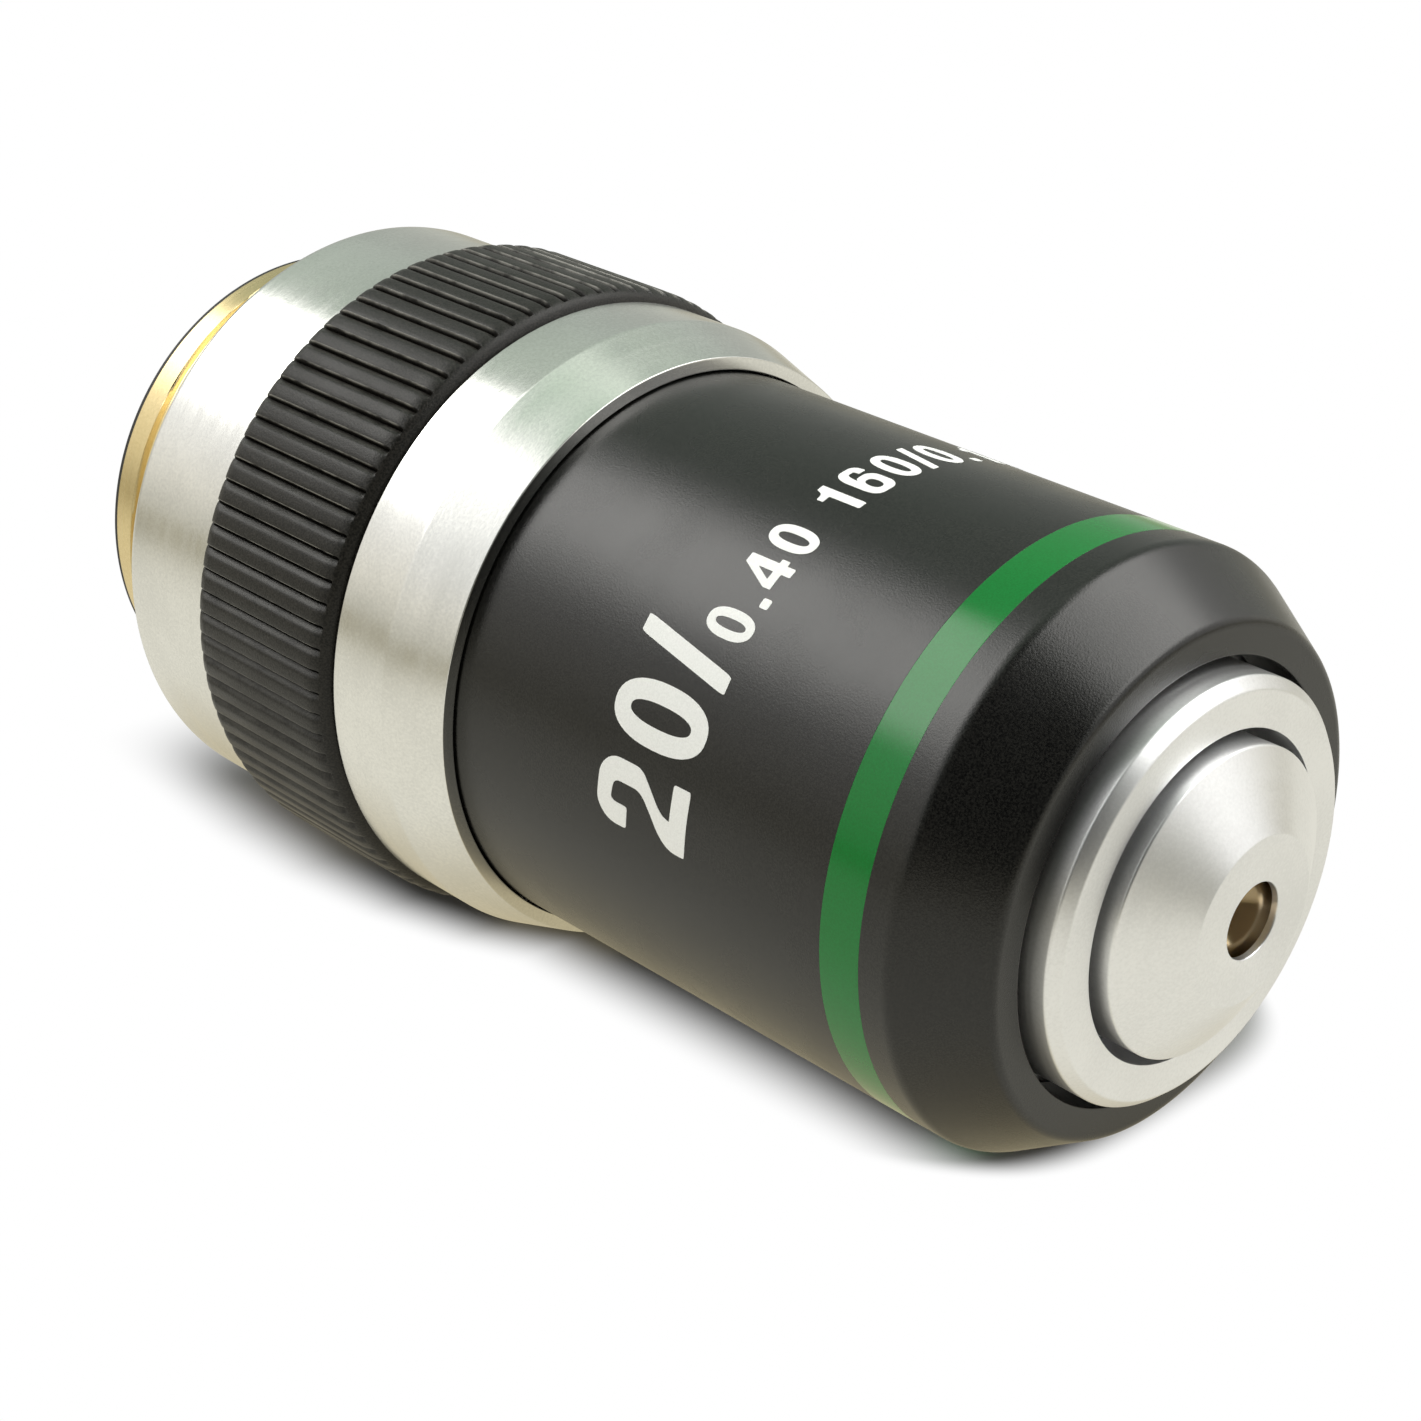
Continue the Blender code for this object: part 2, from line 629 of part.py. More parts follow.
def make_guide_screw():
    """Slotted grub screw whose tip runs in the nose barrel's keyway, so that the nose can't turn."""
    tip = keyway_floor_r + FIT_GAP
    head = tube_r - SCREW_SUNK
    shape = bmesh.new()
    turn = Matrix.Rotation(math.radians(-90), 4, "X")
    place = Matrix.Translation((0, (tip + head) / 2, screw_z)) @ turn
    bmesh.ops.create_cone(shape, cap_ends=True, segments=SCREW_SEGMENTS, radius1=SCREW_R, radius2=SCREW_R,
                          depth=head - tip, matrix=place)
    screw = add_object("guide_screw", smooth_mesh("guide_screw", shape), spring_steel(), None)
    cut(screw, cutter_box("driver_slot", (4 * SCREW_R, 2 * SCREW_SLOT, SCREW_SLOT), (0, head, screw_z)))


# Heights of the lens stack, worked downwards from its seat in the nose
front_cell_rear_z = nose_seat_z - SEAT_GAP - CELL_FLANGE_LENGTH
front_spacer_z = front_cell_rear_z - SEAT_GAP - FRONT_SPACER
middle_cell_z = front_spacer_z - SEAT_GAP
rear_spacer_z = middle_cell_z - doublet_length(MIDDLE_BOND_DOME, MIDDLE_BACK_DOME) - SEAT_GAP - REAR_SPACER
rear_cell_z = rear_spacer_z - SEAT_GAP
stop_z = rear_cell_z - doublet_length(REAR_BOND_DOME, REAR_BACK_DOME) - SEAT_GAP - STOP_THICKNESS
lock_ring_z = stop_z - SEAT_GAP - LOCK_RING_LENGTH
nose_rear_z = lock_ring_z - NOSE_TAIL


def main():
    for thing in list(bpy.data.objects):
        bpy.data.objects.remove(thing, do_unlink=True)
    make_mount_barrel()
    make_shoulder_ring()
    make_rear_shell()
    make_grip_ring()
    make_parfocal_shim()
    make_front_sleeve()
    make_colour_band()
    make_guide_screw()

    # The nose and its lenses slide along the optical axis on this empty
    slide = bpy.data.objects.new("nose_slide", None)
    bpy.context.collection.objects.link(slide)
    make_nose_barrel(slide)
    make_front_cell(slide)
    make_lens_stack(slide)
    make_spring(slide)


main()
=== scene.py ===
import json
import math

import bmesh
import bpy
from mathutils import Matrix, Vector


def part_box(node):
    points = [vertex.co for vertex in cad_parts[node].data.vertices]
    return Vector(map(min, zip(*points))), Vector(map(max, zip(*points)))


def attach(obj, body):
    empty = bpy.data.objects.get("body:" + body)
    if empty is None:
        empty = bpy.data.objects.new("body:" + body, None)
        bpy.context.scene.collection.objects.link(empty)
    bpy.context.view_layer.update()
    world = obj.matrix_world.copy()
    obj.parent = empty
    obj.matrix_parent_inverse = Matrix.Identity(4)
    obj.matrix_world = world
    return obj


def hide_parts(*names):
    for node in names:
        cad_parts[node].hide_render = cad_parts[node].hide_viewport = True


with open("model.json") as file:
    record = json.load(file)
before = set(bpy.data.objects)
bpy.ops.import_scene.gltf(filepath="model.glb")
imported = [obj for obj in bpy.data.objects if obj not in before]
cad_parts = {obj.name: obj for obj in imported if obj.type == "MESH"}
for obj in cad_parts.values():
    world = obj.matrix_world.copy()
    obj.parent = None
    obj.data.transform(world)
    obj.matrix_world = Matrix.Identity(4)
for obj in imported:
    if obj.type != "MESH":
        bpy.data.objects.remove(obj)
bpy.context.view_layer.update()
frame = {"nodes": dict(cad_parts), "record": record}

# Looks of a microscope objective, turned and knurled again in fine detail round its solids.
# Metres. +Z runs along the optical axis, from the mounting thread to the nose.

MM = 0.001
FULL_TURN = 2 * math.pi
DEGREES = 180 / math.pi       # in a radian
CLOSE = 0.005 * MM            # two corners nearer than this are one corner
WELD = 0.0001 * MM            # points nearer than this become one

# Fine form that the solids leave out
ROUND = 240                   # facets round each turned piece
RING_ROUND = 160              # round the plain rings inside
LENS_ROUND = 96
ROD_ROUND = 48
DOME_STEPS = 16               # from the axis of a lens to its rim
EASE_STEPS = 4                # facets across a rounded corner
HOLD = 0.03 * MM              # the flat starts this far from a rounded corner
SHARP_ANGLE = math.radians(35)
TINY_EASE = 0.03 * MM
SMALL_EASE = 0.06 * MM
CORNER_ROUND = 0.20 * MM      # both corners of the sleeve's cone
ENAMEL_FILL = 0.05 * MM       # the enamel reaches this much further, to its groove's walls
ENAMEL_EASE = 0.006 * MM

# Mounting thread, 36 turns to the inch with rounded crests and roots
THREAD_PITCH = 25.4 / 36 * MM
THREAD_DEPTH = 0.64 * THREAD_PITCH
THREAD_ROWS = 72
THREAD_CREST = 0.10           # share of a flank that is rounded over at the crest and at the root

# Knurling
GROOVE_COUNT = 90
GROOVE_WELD = 0.001 * MM
# One pitch across a groove, steep on one side and sloping on the other: (share of it, depth)
GROOVE = (
    (-0.5, 0.0), (-0.30, 0.004), (-0.17, 0.012), (-0.11, 0.030), (-0.08, 0.080), (-0.05, 0.220),
    (-0.022, 0.310), (0.0, 0.330), (0.022, 0.280), (0.05, 0.175), (0.12, 0.125), (0.19, 0.078),
    (0.25, 0.038), (0.31, 0.014), (0.39, 0.003), (0.5, 0.0))
# Run-outs: (height from the ring's rear or from the end of its grooves, share of the groove's
# depth, drop of the crown)
KNURL_START = (
    (0.0, 0.15, 0.24), (0.04, 0.20, 0.18), (0.12, 0.35, 0.12), (0.25, 0.65, 0.06),
    (0.40, 0.92, 0.02), (0.52, 1.0, 0.0))
KNURL_END = (
    (-0.20, 1.0, 0.0), (0.10, 1.0, 0.012), (0.30, 0.95, 0.045), (0.44, 0.85, 0.09),
    (0.53, 0.50, 0.125), (0.58, 0.0, 0.155), (0.68, 0.0, 0.23), (0.77, 0.0, 0.35),
    (0.84, 0.0, 0.48), (0.90, 0.0, 0.62))

# Cuts, as the solids have them
SCREW_GAP = 0.30 * MM         # round the guide screw in its hole
KEYWAY_WIDTH = 2.00 * MM
KEYWAY_FLOOR = 6.60 * MM
KEYWAY_LOW = 19.00 * MM
KEYWAY_HIGH = 23.50 * MM
SLOT_WIDTH = 1.20 * MM        # of the spanner slots across a ring's rear face
SLOT_DEPTH = 0.60 * MM
CELL_EDGE_EASE = 0.12 * MM    # the solid's bevel at the edge of the tip's cone
LIP_CLOSE = 0.08 * MM         # the shell's lip fits this much closer round the sleeve

# Numerals, white, read towards falling angles with their feet towards the nose
CAP_TALL = 4.0 * MM
CAP_SMALL = 1.9 * MM
FOOT_Z = 33.22 * MM
FIRST_CENTRE = math.radians(191.75 + 105.89)
DIGIT_ADVANCE = 0.730         # of the cap height
POINT_ADVANCE = 0.365
INK_RAISED = 0.012 * MM
INK_SUNK = 0.030 * MM
INK_SLICE = 0.25 * MM         # the ink is cut into strips this wide and bent round
SAME_SPOT = 0.001             # of the cap height: nearer outline points are one

# Marks and grain
BROAD_MARKS = 0.16            # the coarser rings, as a share of the fine rings' number
MARKS = {"Detail": 2.0, "Roughness": 0.6}
AXIS_GAP = 0.01               # millimetres: nothing counts as nearer to the axis
CHATTER = 40.0                # the tool's chatter: its waves in about a sixth of a turn
CHATTER_ALONG = 0.25          # how fast they change with height
NOISE_SPREAD = (0.3, 0.7)     # nearly all of a noise lies in here
GRAIN_TONES = (0.35, 0.65)    # of a paint's grain, from its deep shade to its plain one
METAL_TONES = (0.7, 1.3)      # of grain and patches added

# Blackened bore, and painted shade in the same black at the rear of the barrel, in millimetres:
# where the black ends, and how softly
BLACK_BORE, BORE_FADE = 8.9, 0.05
PAINTED_REAR_SHADE, REAR_FADE = 0.25, 0.02
BLACK_PAINT_AND_SHADE = (0.012, 0.012, 0.012)
BLACK_ROUGHNESS = 0.6

# Painted highlight beside each groove: (from, to, softness) in shares of a pitch, groove at 0.5
HIGHLIGHT_LINE = (0.380, 0.420, 0.022)
HIGHLIGHT_SIDE = (0.60, 0.74, 0.08)
HIGHLIGHT_SIDE_SHARE = 0.10
HIGHLIGHT_HEIGHT = (9.5, 16.1, 0.15)   # from, to and softness in millimetres
HIGHLIGHT_PATCHES = (0.25, 0.60)
PAINTED_HIGHLIGHT = (0.34, 0.33, 0.30)

# Camera and table, as the photo has them
CAMERA_PLACE = Vector((0.0, -79.08, 88.93)) * MM
CAMERA_FORWARD = Vector((0.01364, 0.77558, -0.63111))
CAMERA_UP = Vector((-0.90573, -0.25783, -0.33643))
CAMERA_SENSOR = 36.0          # millimetres, as is the focal length
CAMERA_FOCAL = 72.32
CAMERA_SEES = (0.005, 5.0)    # nearest and farthest
TABLE_UP = Vector((-0.8390, -0.5400, -0.0631)).normalized()
TABLE_DROP = 13.07 * MM       # from the origin down to the table
TABLE_REACH = 1.2
TABLE_ALONG = (Vector((0, 0, 1)) - TABLE_UP * TABLE_UP.z).normalized()
TABLE_ACROSS = TABLE_ALONG.cross(TABLE_UP)   # towards the camera's side

# The room that the metal mirrors. Lift is the angle above the table's plane and bearing the angle
# to the right of the camera's view, in degrees. Tones are (lift, red, green, blue), panels and
# walls (from, to, softness).
WHITE = (1.0, 1.0, 1.0)
ROOM_TONES = (
    (-10, 0.54, 0.52, 0.44), (2, 0.56, 0.57, 0.51), (14, 0.46, 0.48, 0.44), (30, 0.46, 0.51, 0.46),
    (45, 0.50, 0.57, 0.49), (57, 0.46, 0.53, 0.46), (66, 0.92, 1.02, 0.89), (75, 0.58, 0.70, 0.58),
    (90, 0.60, 0.70, 0.60))
BEHIND = (128, 152)           # bearings to either side where the room turns dark
BEHIND_TONE = (0.05, 0.05, 0.05)
WALL_TONES = (
    (-10, 0.48, 0.45, 0.35), (3, 0.66, 0.64, 0.56), (11, 0.88, 0.85, 0.76), (24, 1.03, 1.02, 0.98),
    (40, 1.20, 1.20, 1.18), (90, 1.20, 1.20, 1.18))
WALL_BEARINGS = (42, 130, 6)  # to either side
WALL_TOP = (76, 62)           # lifts where the light walls have ended and are still full
LEFT_PANEL = ((-104, -46, 8), (33.5, 61, 6))   # bearings, then lifts
RIGHT_PANEL = ((50, 132, 8), (38, 68, 6))
PANEL_TONE = (4.7, 4.65, 4.5)
LOW_PANEL = ((80, 124, 8), (5, 30, 4))
LOW_PANEL_TONE = (1.12, 1.11, 1.08)

# The shadow on the table, real shading darkened by a painted shade tone: (millimetres along the
# object, centimetres beside it where the shadow starts to fade and where it has ended, brightness
# of the painted shade in it)
SHADOW = (
    (-8, 0.15, 0.60, 0.14), (-3, 0.25, 0.68, 0.14), (2.2, 0.33, 0.77, 0.14),
    (7.2, 0.41, 0.80, 0.20), (12.2, 0.43, 0.765, 0.24), (16.2, 0.37, 0.69, 0.34),
    (19.2, 0.22, 0.59, 0.22), (23.2, 0.215, 0.615, 0.31), (27.3, 0.235, 0.63, 0.38),
    (32.2, 0.26, 0.66, 0.38), (37, 0.315, 0.68, 0.52), (43, 0.32, 0.68, 0.52))
SHADOW_FAR_END = (-12.5, -17)     # across, on the far side of the object
SHADOW_REAR_END = (-1, -10.5)     # along, behind the thread
FAR_SIDE_TONE = (-3, -7, 1.0, 0.75)   # across, and what the brightness is multiplied by
# In front of the nose the shadow ends in a curve, which falls back with the fourth power of the
# distance from its middle
CURVE_TIP = 42.45
CURVE_MIDDLE = -3.0
CURVE_FADE = (-1.0, 0.9)
CURVE_BEND = (-4, -2, 0.0004, 0.00066)   # across, and the factor of the power

# What the object mirrors of the table, and the light the table gives it: a painted glow, with
# painted shade where it touches the object and darker far away. By millimetres beside and along it,
# then by the distance from a point on the far side
PAINTED_TOUCH_SHADE = (0.56, 0.49, 0.32)
OPEN_TONE = (0.86, 0.84, 0.74)
OPEN_BESIDE = (3, 17)
OPEN_FRONT = (42, 48)
OPEN_REAR = (0, -8)
FAR_TONE = (0.46, 0.43, 0.33)
FAR = (60 * MM, 200 * MM)
FAR_CENTRE = -TABLE_UP * TABLE_DROP - TABLE_ACROSS * 30 * MM + TABLE_ALONG * 25 * MM


def distinct(values):
    """Sorted values, with those that lie close together taken once."""
    kept = []
    for value in sorted(values):
        if not kept or value - kept[-1] > CLOSE:
            kept.append(value)
    return kept


def heights(node):
    """The distinct heights of a CAD node's corners, lowest first."""
    return distinct(vertex.co.z for vertex in frame["nodes"][node].data.vertices)


def radii(node, height):
    """The distinct distances from the axis of a CAD node's corners at one height."""
    corners = [vertex.co for vertex in frame["nodes"][node].data.vertices]
    return distinct(corner.xy.length for corner in corners if abs(corner.z - height) < CLOSE)


def node_facts():
    """The body and the material slot of each CAD node."""
    facts = {}
    for entry in frame["record"]["subparts"]:
        facts[entry["node"]] = [None, entry["material_slot"]]
    for body, members in frame["record"]["behaviour"]["bodies"].items():
        for member in members:
            facts[member][0] = body
    return facts


facts = node_facts()


# Node trees

def add_node(tree, kind, inputs=None, **settings):
    """Add a node. Inputs maps a socket's name or number to a value or to a node's output."""
    made = tree.nodes.new(kind)
    for name, value in settings.items():
        setattr(made, name, value)
    for key, value in (inputs or {}).items():
        socket = made.inputs[key]
        if isinstance(value, bpy.types.NodeSocket):
            tree.links.new(value, socket)
        elif socket.type == "RGBA":
            socket.default_value = (*value, 1.0)
        else:
            socket.default_value = value
    return made


def calc(operation, *values):
    """The result of a Math node."""
    tree = next(value.id_data for value in values if isinstance(value, bpy.types.NodeSocket))
    return add_node(tree, "ShaderNodeMath", dict(enumerate(values)), operation=operation).outputs[0]


def times(first, *others):
    """The product of several values."""
    for other in others:
        first = calc("MULTIPLY", first, other)
    return first


def largest(first, *others):
    """The largest of several values."""
    for other in others:
        first = calc("MAXIMUM", first, other)
    return first


def rescale(value, low, high, to_low=0.0, to_high=1.0, shape="SMOOTHSTEP"):
    """A value's place between low and high, carried to another range."""
    inputs = {0: value, 1: low, 2: high, 3: to_low, 4: to_high}
    made = add_node(value.id_data, "ShaderNodeMapRange", inputs, interpolation_type=shape)
    return made.outputs[0]


def band_mask(value, low, high, soft):
    """1 where a value lies between low and high, with soft edges."""
    rise = rescale(value, low - soft, low + soft)
    fall = rescale(value, high - soft, high + soft, 1.0, 0.0)
    return times(rise, fall)


def mix_colours(share, first, second):
    inputs = {0: share, 6: first, 7: second}
    return add_node(share.id_data, "ShaderNodeMix", inputs, data_type="RGBA").outputs[2]


def mix_shaders(share, first, second):
    inputs = {0: share, 1: first.outputs[0], 2: second.outputs[0]}
    return add_node(share.id_data, "ShaderNodeMixShader", inputs)


def ramp(value, rows):
    """A colour that follows a value through rows of (value, red, green, blue)."""
    low, high = rows[0][0], rows[-1][0]
    inputs = {0: rescale(value, low, high, shape="LINEAR")}
    made = add_node(value.id_data, "ShaderNodeValToRGB", inputs)
    stops = made.color_ramp.elements
    stops[0].color = (*rows[0][1:], 1.0)
    stops[1].color = (*rows[-1][1:], 1.0)
    for place, *shade in rows[1:-1]:
        stops.new((place - low) / (high - low)).color = (*shade, 1.0)
    return made.outputs[0]


def along(place, direction):
    """How far a place lies along a direction."""
    inputs = {0: place, 1: direction}
    made = add_node(place.id_data, "ShaderNodeVectorMath", inputs, operation="DOT_PRODUCT")
    return made.outputs["Value"]


def axis_distance(x, y):
    """How far a place is from the axis."""
    return calc("SQRT", calc("ADD", times(x, x), times(y, y)))


def object_place(tree):
    return add_node(tree, "ShaderNodeTexCoord").outputs["Object"]


def axis_place(tree):
    """A place's x, y, height and distance from the axis, in millimetres."""
    split = add_node(tree, "ShaderNodeSeparateXYZ", {0: object_place(tree)})
    x, y, z = [calc("DIVIDE", side, MM) for side in split.outputs]
    return x, y, z, largest(axis_distance(x, y), AXIS_GAP)


def new_group(kind, name, inputs, outputs):
    """A node group with named inputs and outputs, each (label: kind of socket)."""
    group = bpy.data.node_groups.new(name, kind)
    for way, sockets in (("INPUT", inputs), ("OUTPUT", outputs)):
        for label, socket in sockets.items():
            group.interface.new_socket(label, in_out=way, socket_type="NodeSocket" + socket)
    return group, group.nodes.new("NodeGroupInput"), group.nodes.new("NodeGroupOutput")


# Effects that more than one finish uses

def tool_noise(group, result, spot, height, scale):
    """Lead a noise over a spot and a height to a result."""
    spot = add_node(group, "ShaderNodeCombineXYZ", spot)
    inputs = {"Vector": spot.outputs[0], "W": height, "Scale": scale, **MARKS}
    noise = add_node(group, "ShaderNodeTexNoise", inputs, noise_dimensions="4D")
    group.links.new(noise.outputs[0], result)


def make_turning_marks():
    """Fine rings left by the lathe tool, and the chatter round a section, which runs along it."""
    group, given, result = new_group(
        "ShaderNodeTree", "turning marks", {"Marks per mm": "Float", "Waver": "Float"},
        {"Fine": "Float", "Broad": "Float", "Chatter": "Float"})
    x, y, z, radius = axis_place(group)
    ring = [calc("DIVIDE", side, radius) for side in (x, y)]
    wavy = [times(side, given.outputs["Waver"]) for side in ring]
    for label, scale in (("Fine", 1.0), ("Broad", BROAD_MARKS)):
        pitch = times(given.outputs["Marks per mm"], scale)
        spot = {0: wavy[0], 1: wavy[1], 2: times(radius, pitch)}
        tool_noise(group, result.inputs[label], spot, times(z, pitch), 1.0)
    height = times(z, CHATTER_ALONG)
    tool_noise(group, result.inputs["Chatter"], {0: ring[0], 1: ring[1]}, height, CHATTER)
    return group


def make_grain():
    """The fine grain of sprayed paint or blasted metal, with slow patches over it."""
    group, given, result = new_group(
        "ShaderNodeTree", "paint grain", {"Grains per mm": "Float", "Patches per mm": "Float"},
        {"Grain": "Float", "Patches": "Float"})
    place = object_place(group)
    for label, source, detail in (
            ("Grain", "Grains per mm", 3.0), ("Patches", "Patches per mm", 2.0)):
        noise = add_node(group, "ShaderNodeTexNoise", {
            "Vector": place, "Scale": calc("DIVIDE", given.outputs[source], MM),
            "Detail": detail, "Roughness": 0.55})
        group.links.new(noise.outputs[0], result.inputs[label])
    return group


turning_marks = make_turning_marks()
paint_grain = make_grain()


def effect(shader, group, **values):
    """The results of an effect beside a shader."""
    inputs = {label.replace("_", " "): value for label, value in values.items()}
    return add_node(shader.id_data, "ShaderNodeGroup", inputs, node_tree=group).outputs


# Finishes

finishes = {}


def new_finish(name, **settings):
    """The shader of a new finish, with these plain settings."""
    finish = bpy.data.materials.new(name)
    finish.use_nodes = True
    finishes[name] = finish
    shader = finish.node_tree.nodes["Principled BSDF"]
    for label, value in settings.items():
        shader.inputs[label.replace("_", " ")].default_value = value
    return shader


def feed(shader, socket, value):
    shader.id_data.links.new(value, shader.inputs[socket])


def fed_by(shader, socket):
    return shader.inputs[socket].links[0].from_socket


def tint(shader, share, first, second):
    """Colour a shader between two colours."""
    feed(shader, "Base Color", mix_colours(share, first, second))


def vary_roughness(shader, mask, low, high):
    """Carry the roughness between low and high by a noise."""
    feed(shader, "Roughness", rescale(mask, *NOISE_SPREAD, low, high, "LINEAR"))


def raise_marks(shader, mask, depth, before=None):
    """Bump of this depth in millimetres, from a mask."""
    inputs = {"Height": mask, "Strength": 1.0, "Distance": depth * MM}
    if before:
        inputs["Normal"] = before
    bump = add_node(mask.id_data, "ShaderNodeBump", inputs).outputs[0]
    feed(shader, "Normal", bump)
    return bump


def turned_metal(name, shade, deep_shade, roughness, marks, depth, anisotropic=0.0, chatter=0.0):
    """Bare turned metal: its roughness, colour and surface follow the marks of the tool."""
    shader = new_finish(name, Metallic=1.0, Anisotropic=anisotropic, Anisotropic_Rotation=0.25)
    lathe = effect(shader, turning_marks, Marks_per_mm=marks, Waver=0.6)
    grain = effect(shader, paint_grain, Grains_per_mm=9.0, Patches_per_mm=0.25)
    both = calc("ADD", grain["Patches"], grain["Grain"])
    tint(shader, rescale(both, *METAL_TONES), deep_shade, shade)
    vary_roughness(shader, lathe["Broad"], *roughness)
    fine = raise_marks(shader, lathe["Fine"], depth)
    if chatter:
        raise_marks(shader, lathe["Chatter"], chatter, fine)
    if anisotropic:
        tangent = add_node(shader.id_data, "ShaderNodeTangent", direction_type="RADIAL", axis="Z")
        feed(shader, "Tangent", tangent.outputs[0])
    return shader


def painted(name, shade, deep_shade, roughness, depth, **settings):
    """Sprayed paint with a fine grain and slow patches in its colour and sheen."""
    shader = new_finish(name, **settings)
    grain = effect(shader, paint_grain, Grains_per_mm=15.0, Patches_per_mm=0.35)
    tint(shader, rescale(grain["Grain"], *GRAIN_TONES), deep_shade, shade)
    vary_roughness(shader, grain["Patches"], *roughness)
    raise_marks(shader, grain["Grain"], depth)
    return shader


def lens_glass(name, shade, deep_shade, patches, **settings):
    """Lens glass with a coating that varies in slow patches."""
    shader = new_finish(name, Transmission_Weight=1.0, IOR=1.52, **settings)
    grain = effect(shader, paint_grain, Grains_per_mm=3.0, Patches_per_mm=patches)
    tint(shader, rescale(grain["Patches"], *NOISE_SPREAD), deep_shade, shade)


def make_thread_brass():
    """Turned brass outside; the bore is blackened against stray light, and the rear face and its
    rounded edge are painted black as painted shade.
    """
    shader = turned_metal(
        "thread_brass", (0.80, 0.66, 0.37), (0.72, 0.58, 0.31), (0.20, 0.30), 10.0, 0.0005)
    _, _, height, radius = axis_place(shader.id_data)
    # black: the blackened bore, and up to a small height from the rear a painted shade on the rear
    # edge
    black = largest(rescale(radius, BLACK_BORE - BORE_FADE, BLACK_BORE + BORE_FADE, 1.0, 0.0),
                    rescale(height, PAINTED_REAR_SHADE - REAR_FADE, PAINTED_REAR_SHADE + REAR_FADE, 1.0, 0.0))
    tint(shader, black, fed_by(shader, "Base Color"), BLACK_PAINT_AND_SHADE)
    feed(shader, "Metallic", calc("SUBTRACT", 1.0, black))
    highlight_and_roughness = fed_by(shader, "Roughness")
    feed(shader, "Roughness", largest(highlight_and_roughness, times(black, BLACK_ROUGHNESS)))


def make_grip_black():
    """Paint over the knurling, with a painted highlight along both sides of each groove."""
    shader = painted(
        "grip_black", (0.022, 0.020, 0.017), (0.002, 0.002, 0.001), (0.34, 0.46), 0.0130, IOR=1.38)
    x, y, height, _ = axis_place(shader.id_data)
    turn = calc("DIVIDE", calc("ARCTAN2", y, x), FULL_TURN / GROOVE_COUNT)
    place = calc("FRACT", calc("ADD", turn, GROOVE_COUNT + 0.5))
    # painted highlight: a thin light line on one side of each groove and a faint broad band on the
    # other, in patches
    line = band_mask(place, *HIGHLIGHT_LINE)
    side = times(band_mask(place, *HIGHLIGHT_SIDE), HIGHLIGHT_SIDE_SHARE)
    highlight_noise = effect(shader, paint_grain, Grains_per_mm=5.0, Patches_per_mm=1.1)
    patchy = rescale(highlight_noise["Patches"], *HIGHLIGHT_PATCHES)
    highlight_and_roughness = times(largest(line, side), patchy, band_mask(height, *HIGHLIGHT_HEIGHT))
    tint(shader, highlight_and_roughness, fed_by(shader, "Base Color"), PAINTED_HIGHLIGHT)


make_thread_brass()
make_grip_black()
# Name, shade, deep shade, least and most roughness, marks per mm, their depth in mm
turned_metal("satin_nickel", (0.82, 0.82, 0.795), (0.72, 0.72, 0.70), (0.17, 0.27), 14.0, 0.0003,
             anisotropic=0.4, chatter=0.0032)
turned_metal("bright_nickel", (0.85, 0.855, 0.865), (0.77, 0.775, 0.785), (0.34, 0.42), 18.0,
             0.00015, anisotropic=0.5)
turned_metal("spring_steel", (0.58, 0.59, 0.61), (0.50, 0.51, 0.54), (0.22, 0.34), 8.0, 0.0004)
# Name, shade, deep shade, least and most roughness, depth of the grain in mm
painted("sleeve_black", (0.0120, 0.0118, 0.0105), (0.0, 0.0, 0.0), (0.24, 0.30), 0.0065, IOR=1.5)
painted("band_green", (0.0005, 0.190, 0.029), (0.0003, 0.165, 0.023), (0.08, 0.13), 0.0015,
        IOR=1.43)
painted("numeral_white", (0.95, 0.96, 0.95), (0.88, 0.89, 0.88), (0.45, 0.55), 0.0015)
painted("cell_black", (0.018, 0.018, 0.020), (0.010, 0.010, 0.012), (0.50, 0.62), 0.0020)
# Name, shade, deep shade, patches per mm. The film's thickness is in nanometres
lens_glass("coated_glass", (0.95, 0.90, 0.80), (0.90, 0.84, 0.72), 0.20, Roughness=0.015,
           Thin_Film_Thickness=130.0, Thin_Film_IOR=1.38)
# The front lens, whose coating mirrors amber
lens_glass("amber_glass", (0.66, 0.52, 0.32), (0.60, 0.46, 0.27), 0.8, Roughness=0.12,
           Metallic=0.40)


# Turned pieces

def rounded(start, corner, end, steps):
    """Points of a curve from start to end that bends round a corner."""
    points = []
    for step in range(steps + 1):
        part = step / steps
        points.append(start * (1 - part) ** 2 + corner * 2 * part * (1 - part) + end * part ** 2)
    return points


def eased(corners):
    """A closed outline from corners (r, z) or (r, z, ease): an ease rounds its corner."""
    outline = []
    for index, corner in enumerate(corners):
        here = Vector(corner[:2])
        if len(corner) < 3:
            outline.append(tuple(here))
            continue
        ease = corner[2]
        before = Vector(corners[index - 1][:2]) - here
        after = Vector(corners[(index + 1) % len(corners)][:2]) - here
        start = here + before.normalized() * ease
        end = here + after.normalized() * ease
        if before.length > ease + 3 * HOLD:
            outline.append(tuple(start + before.normalized() * HOLD))
        outline += [tuple(spot) for spot in rounded(start, here, end, EASE_STEPS)]
        if after.length > ease + 3 * HOLD:
            outline.append(tuple(end + after.normalized() * HOLD))
    return outline


def new_object(name, data):
    made = bpy.data.objects.new(name, data)
    bpy.context.scene.collection.objects.link(made)
    return made


def finish_mesh(name, shape):
    """Turn a bmesh into an object, smooth except at its sharp edges."""
    bmesh.ops.remove_doubles(shape, verts=shape.verts, dist=WELD)
    bmesh.ops.recalc_face_normals(shape, faces=shape.faces)
    mesh = bpy.data.meshes.new(name)
    shape.to_mesh(mesh)
    shape.free()
    mesh.shade_smooth()
    mesh.set_sharp_from_angle(angle=SHARP_ANGLE)
    return new_object(name, mesh)


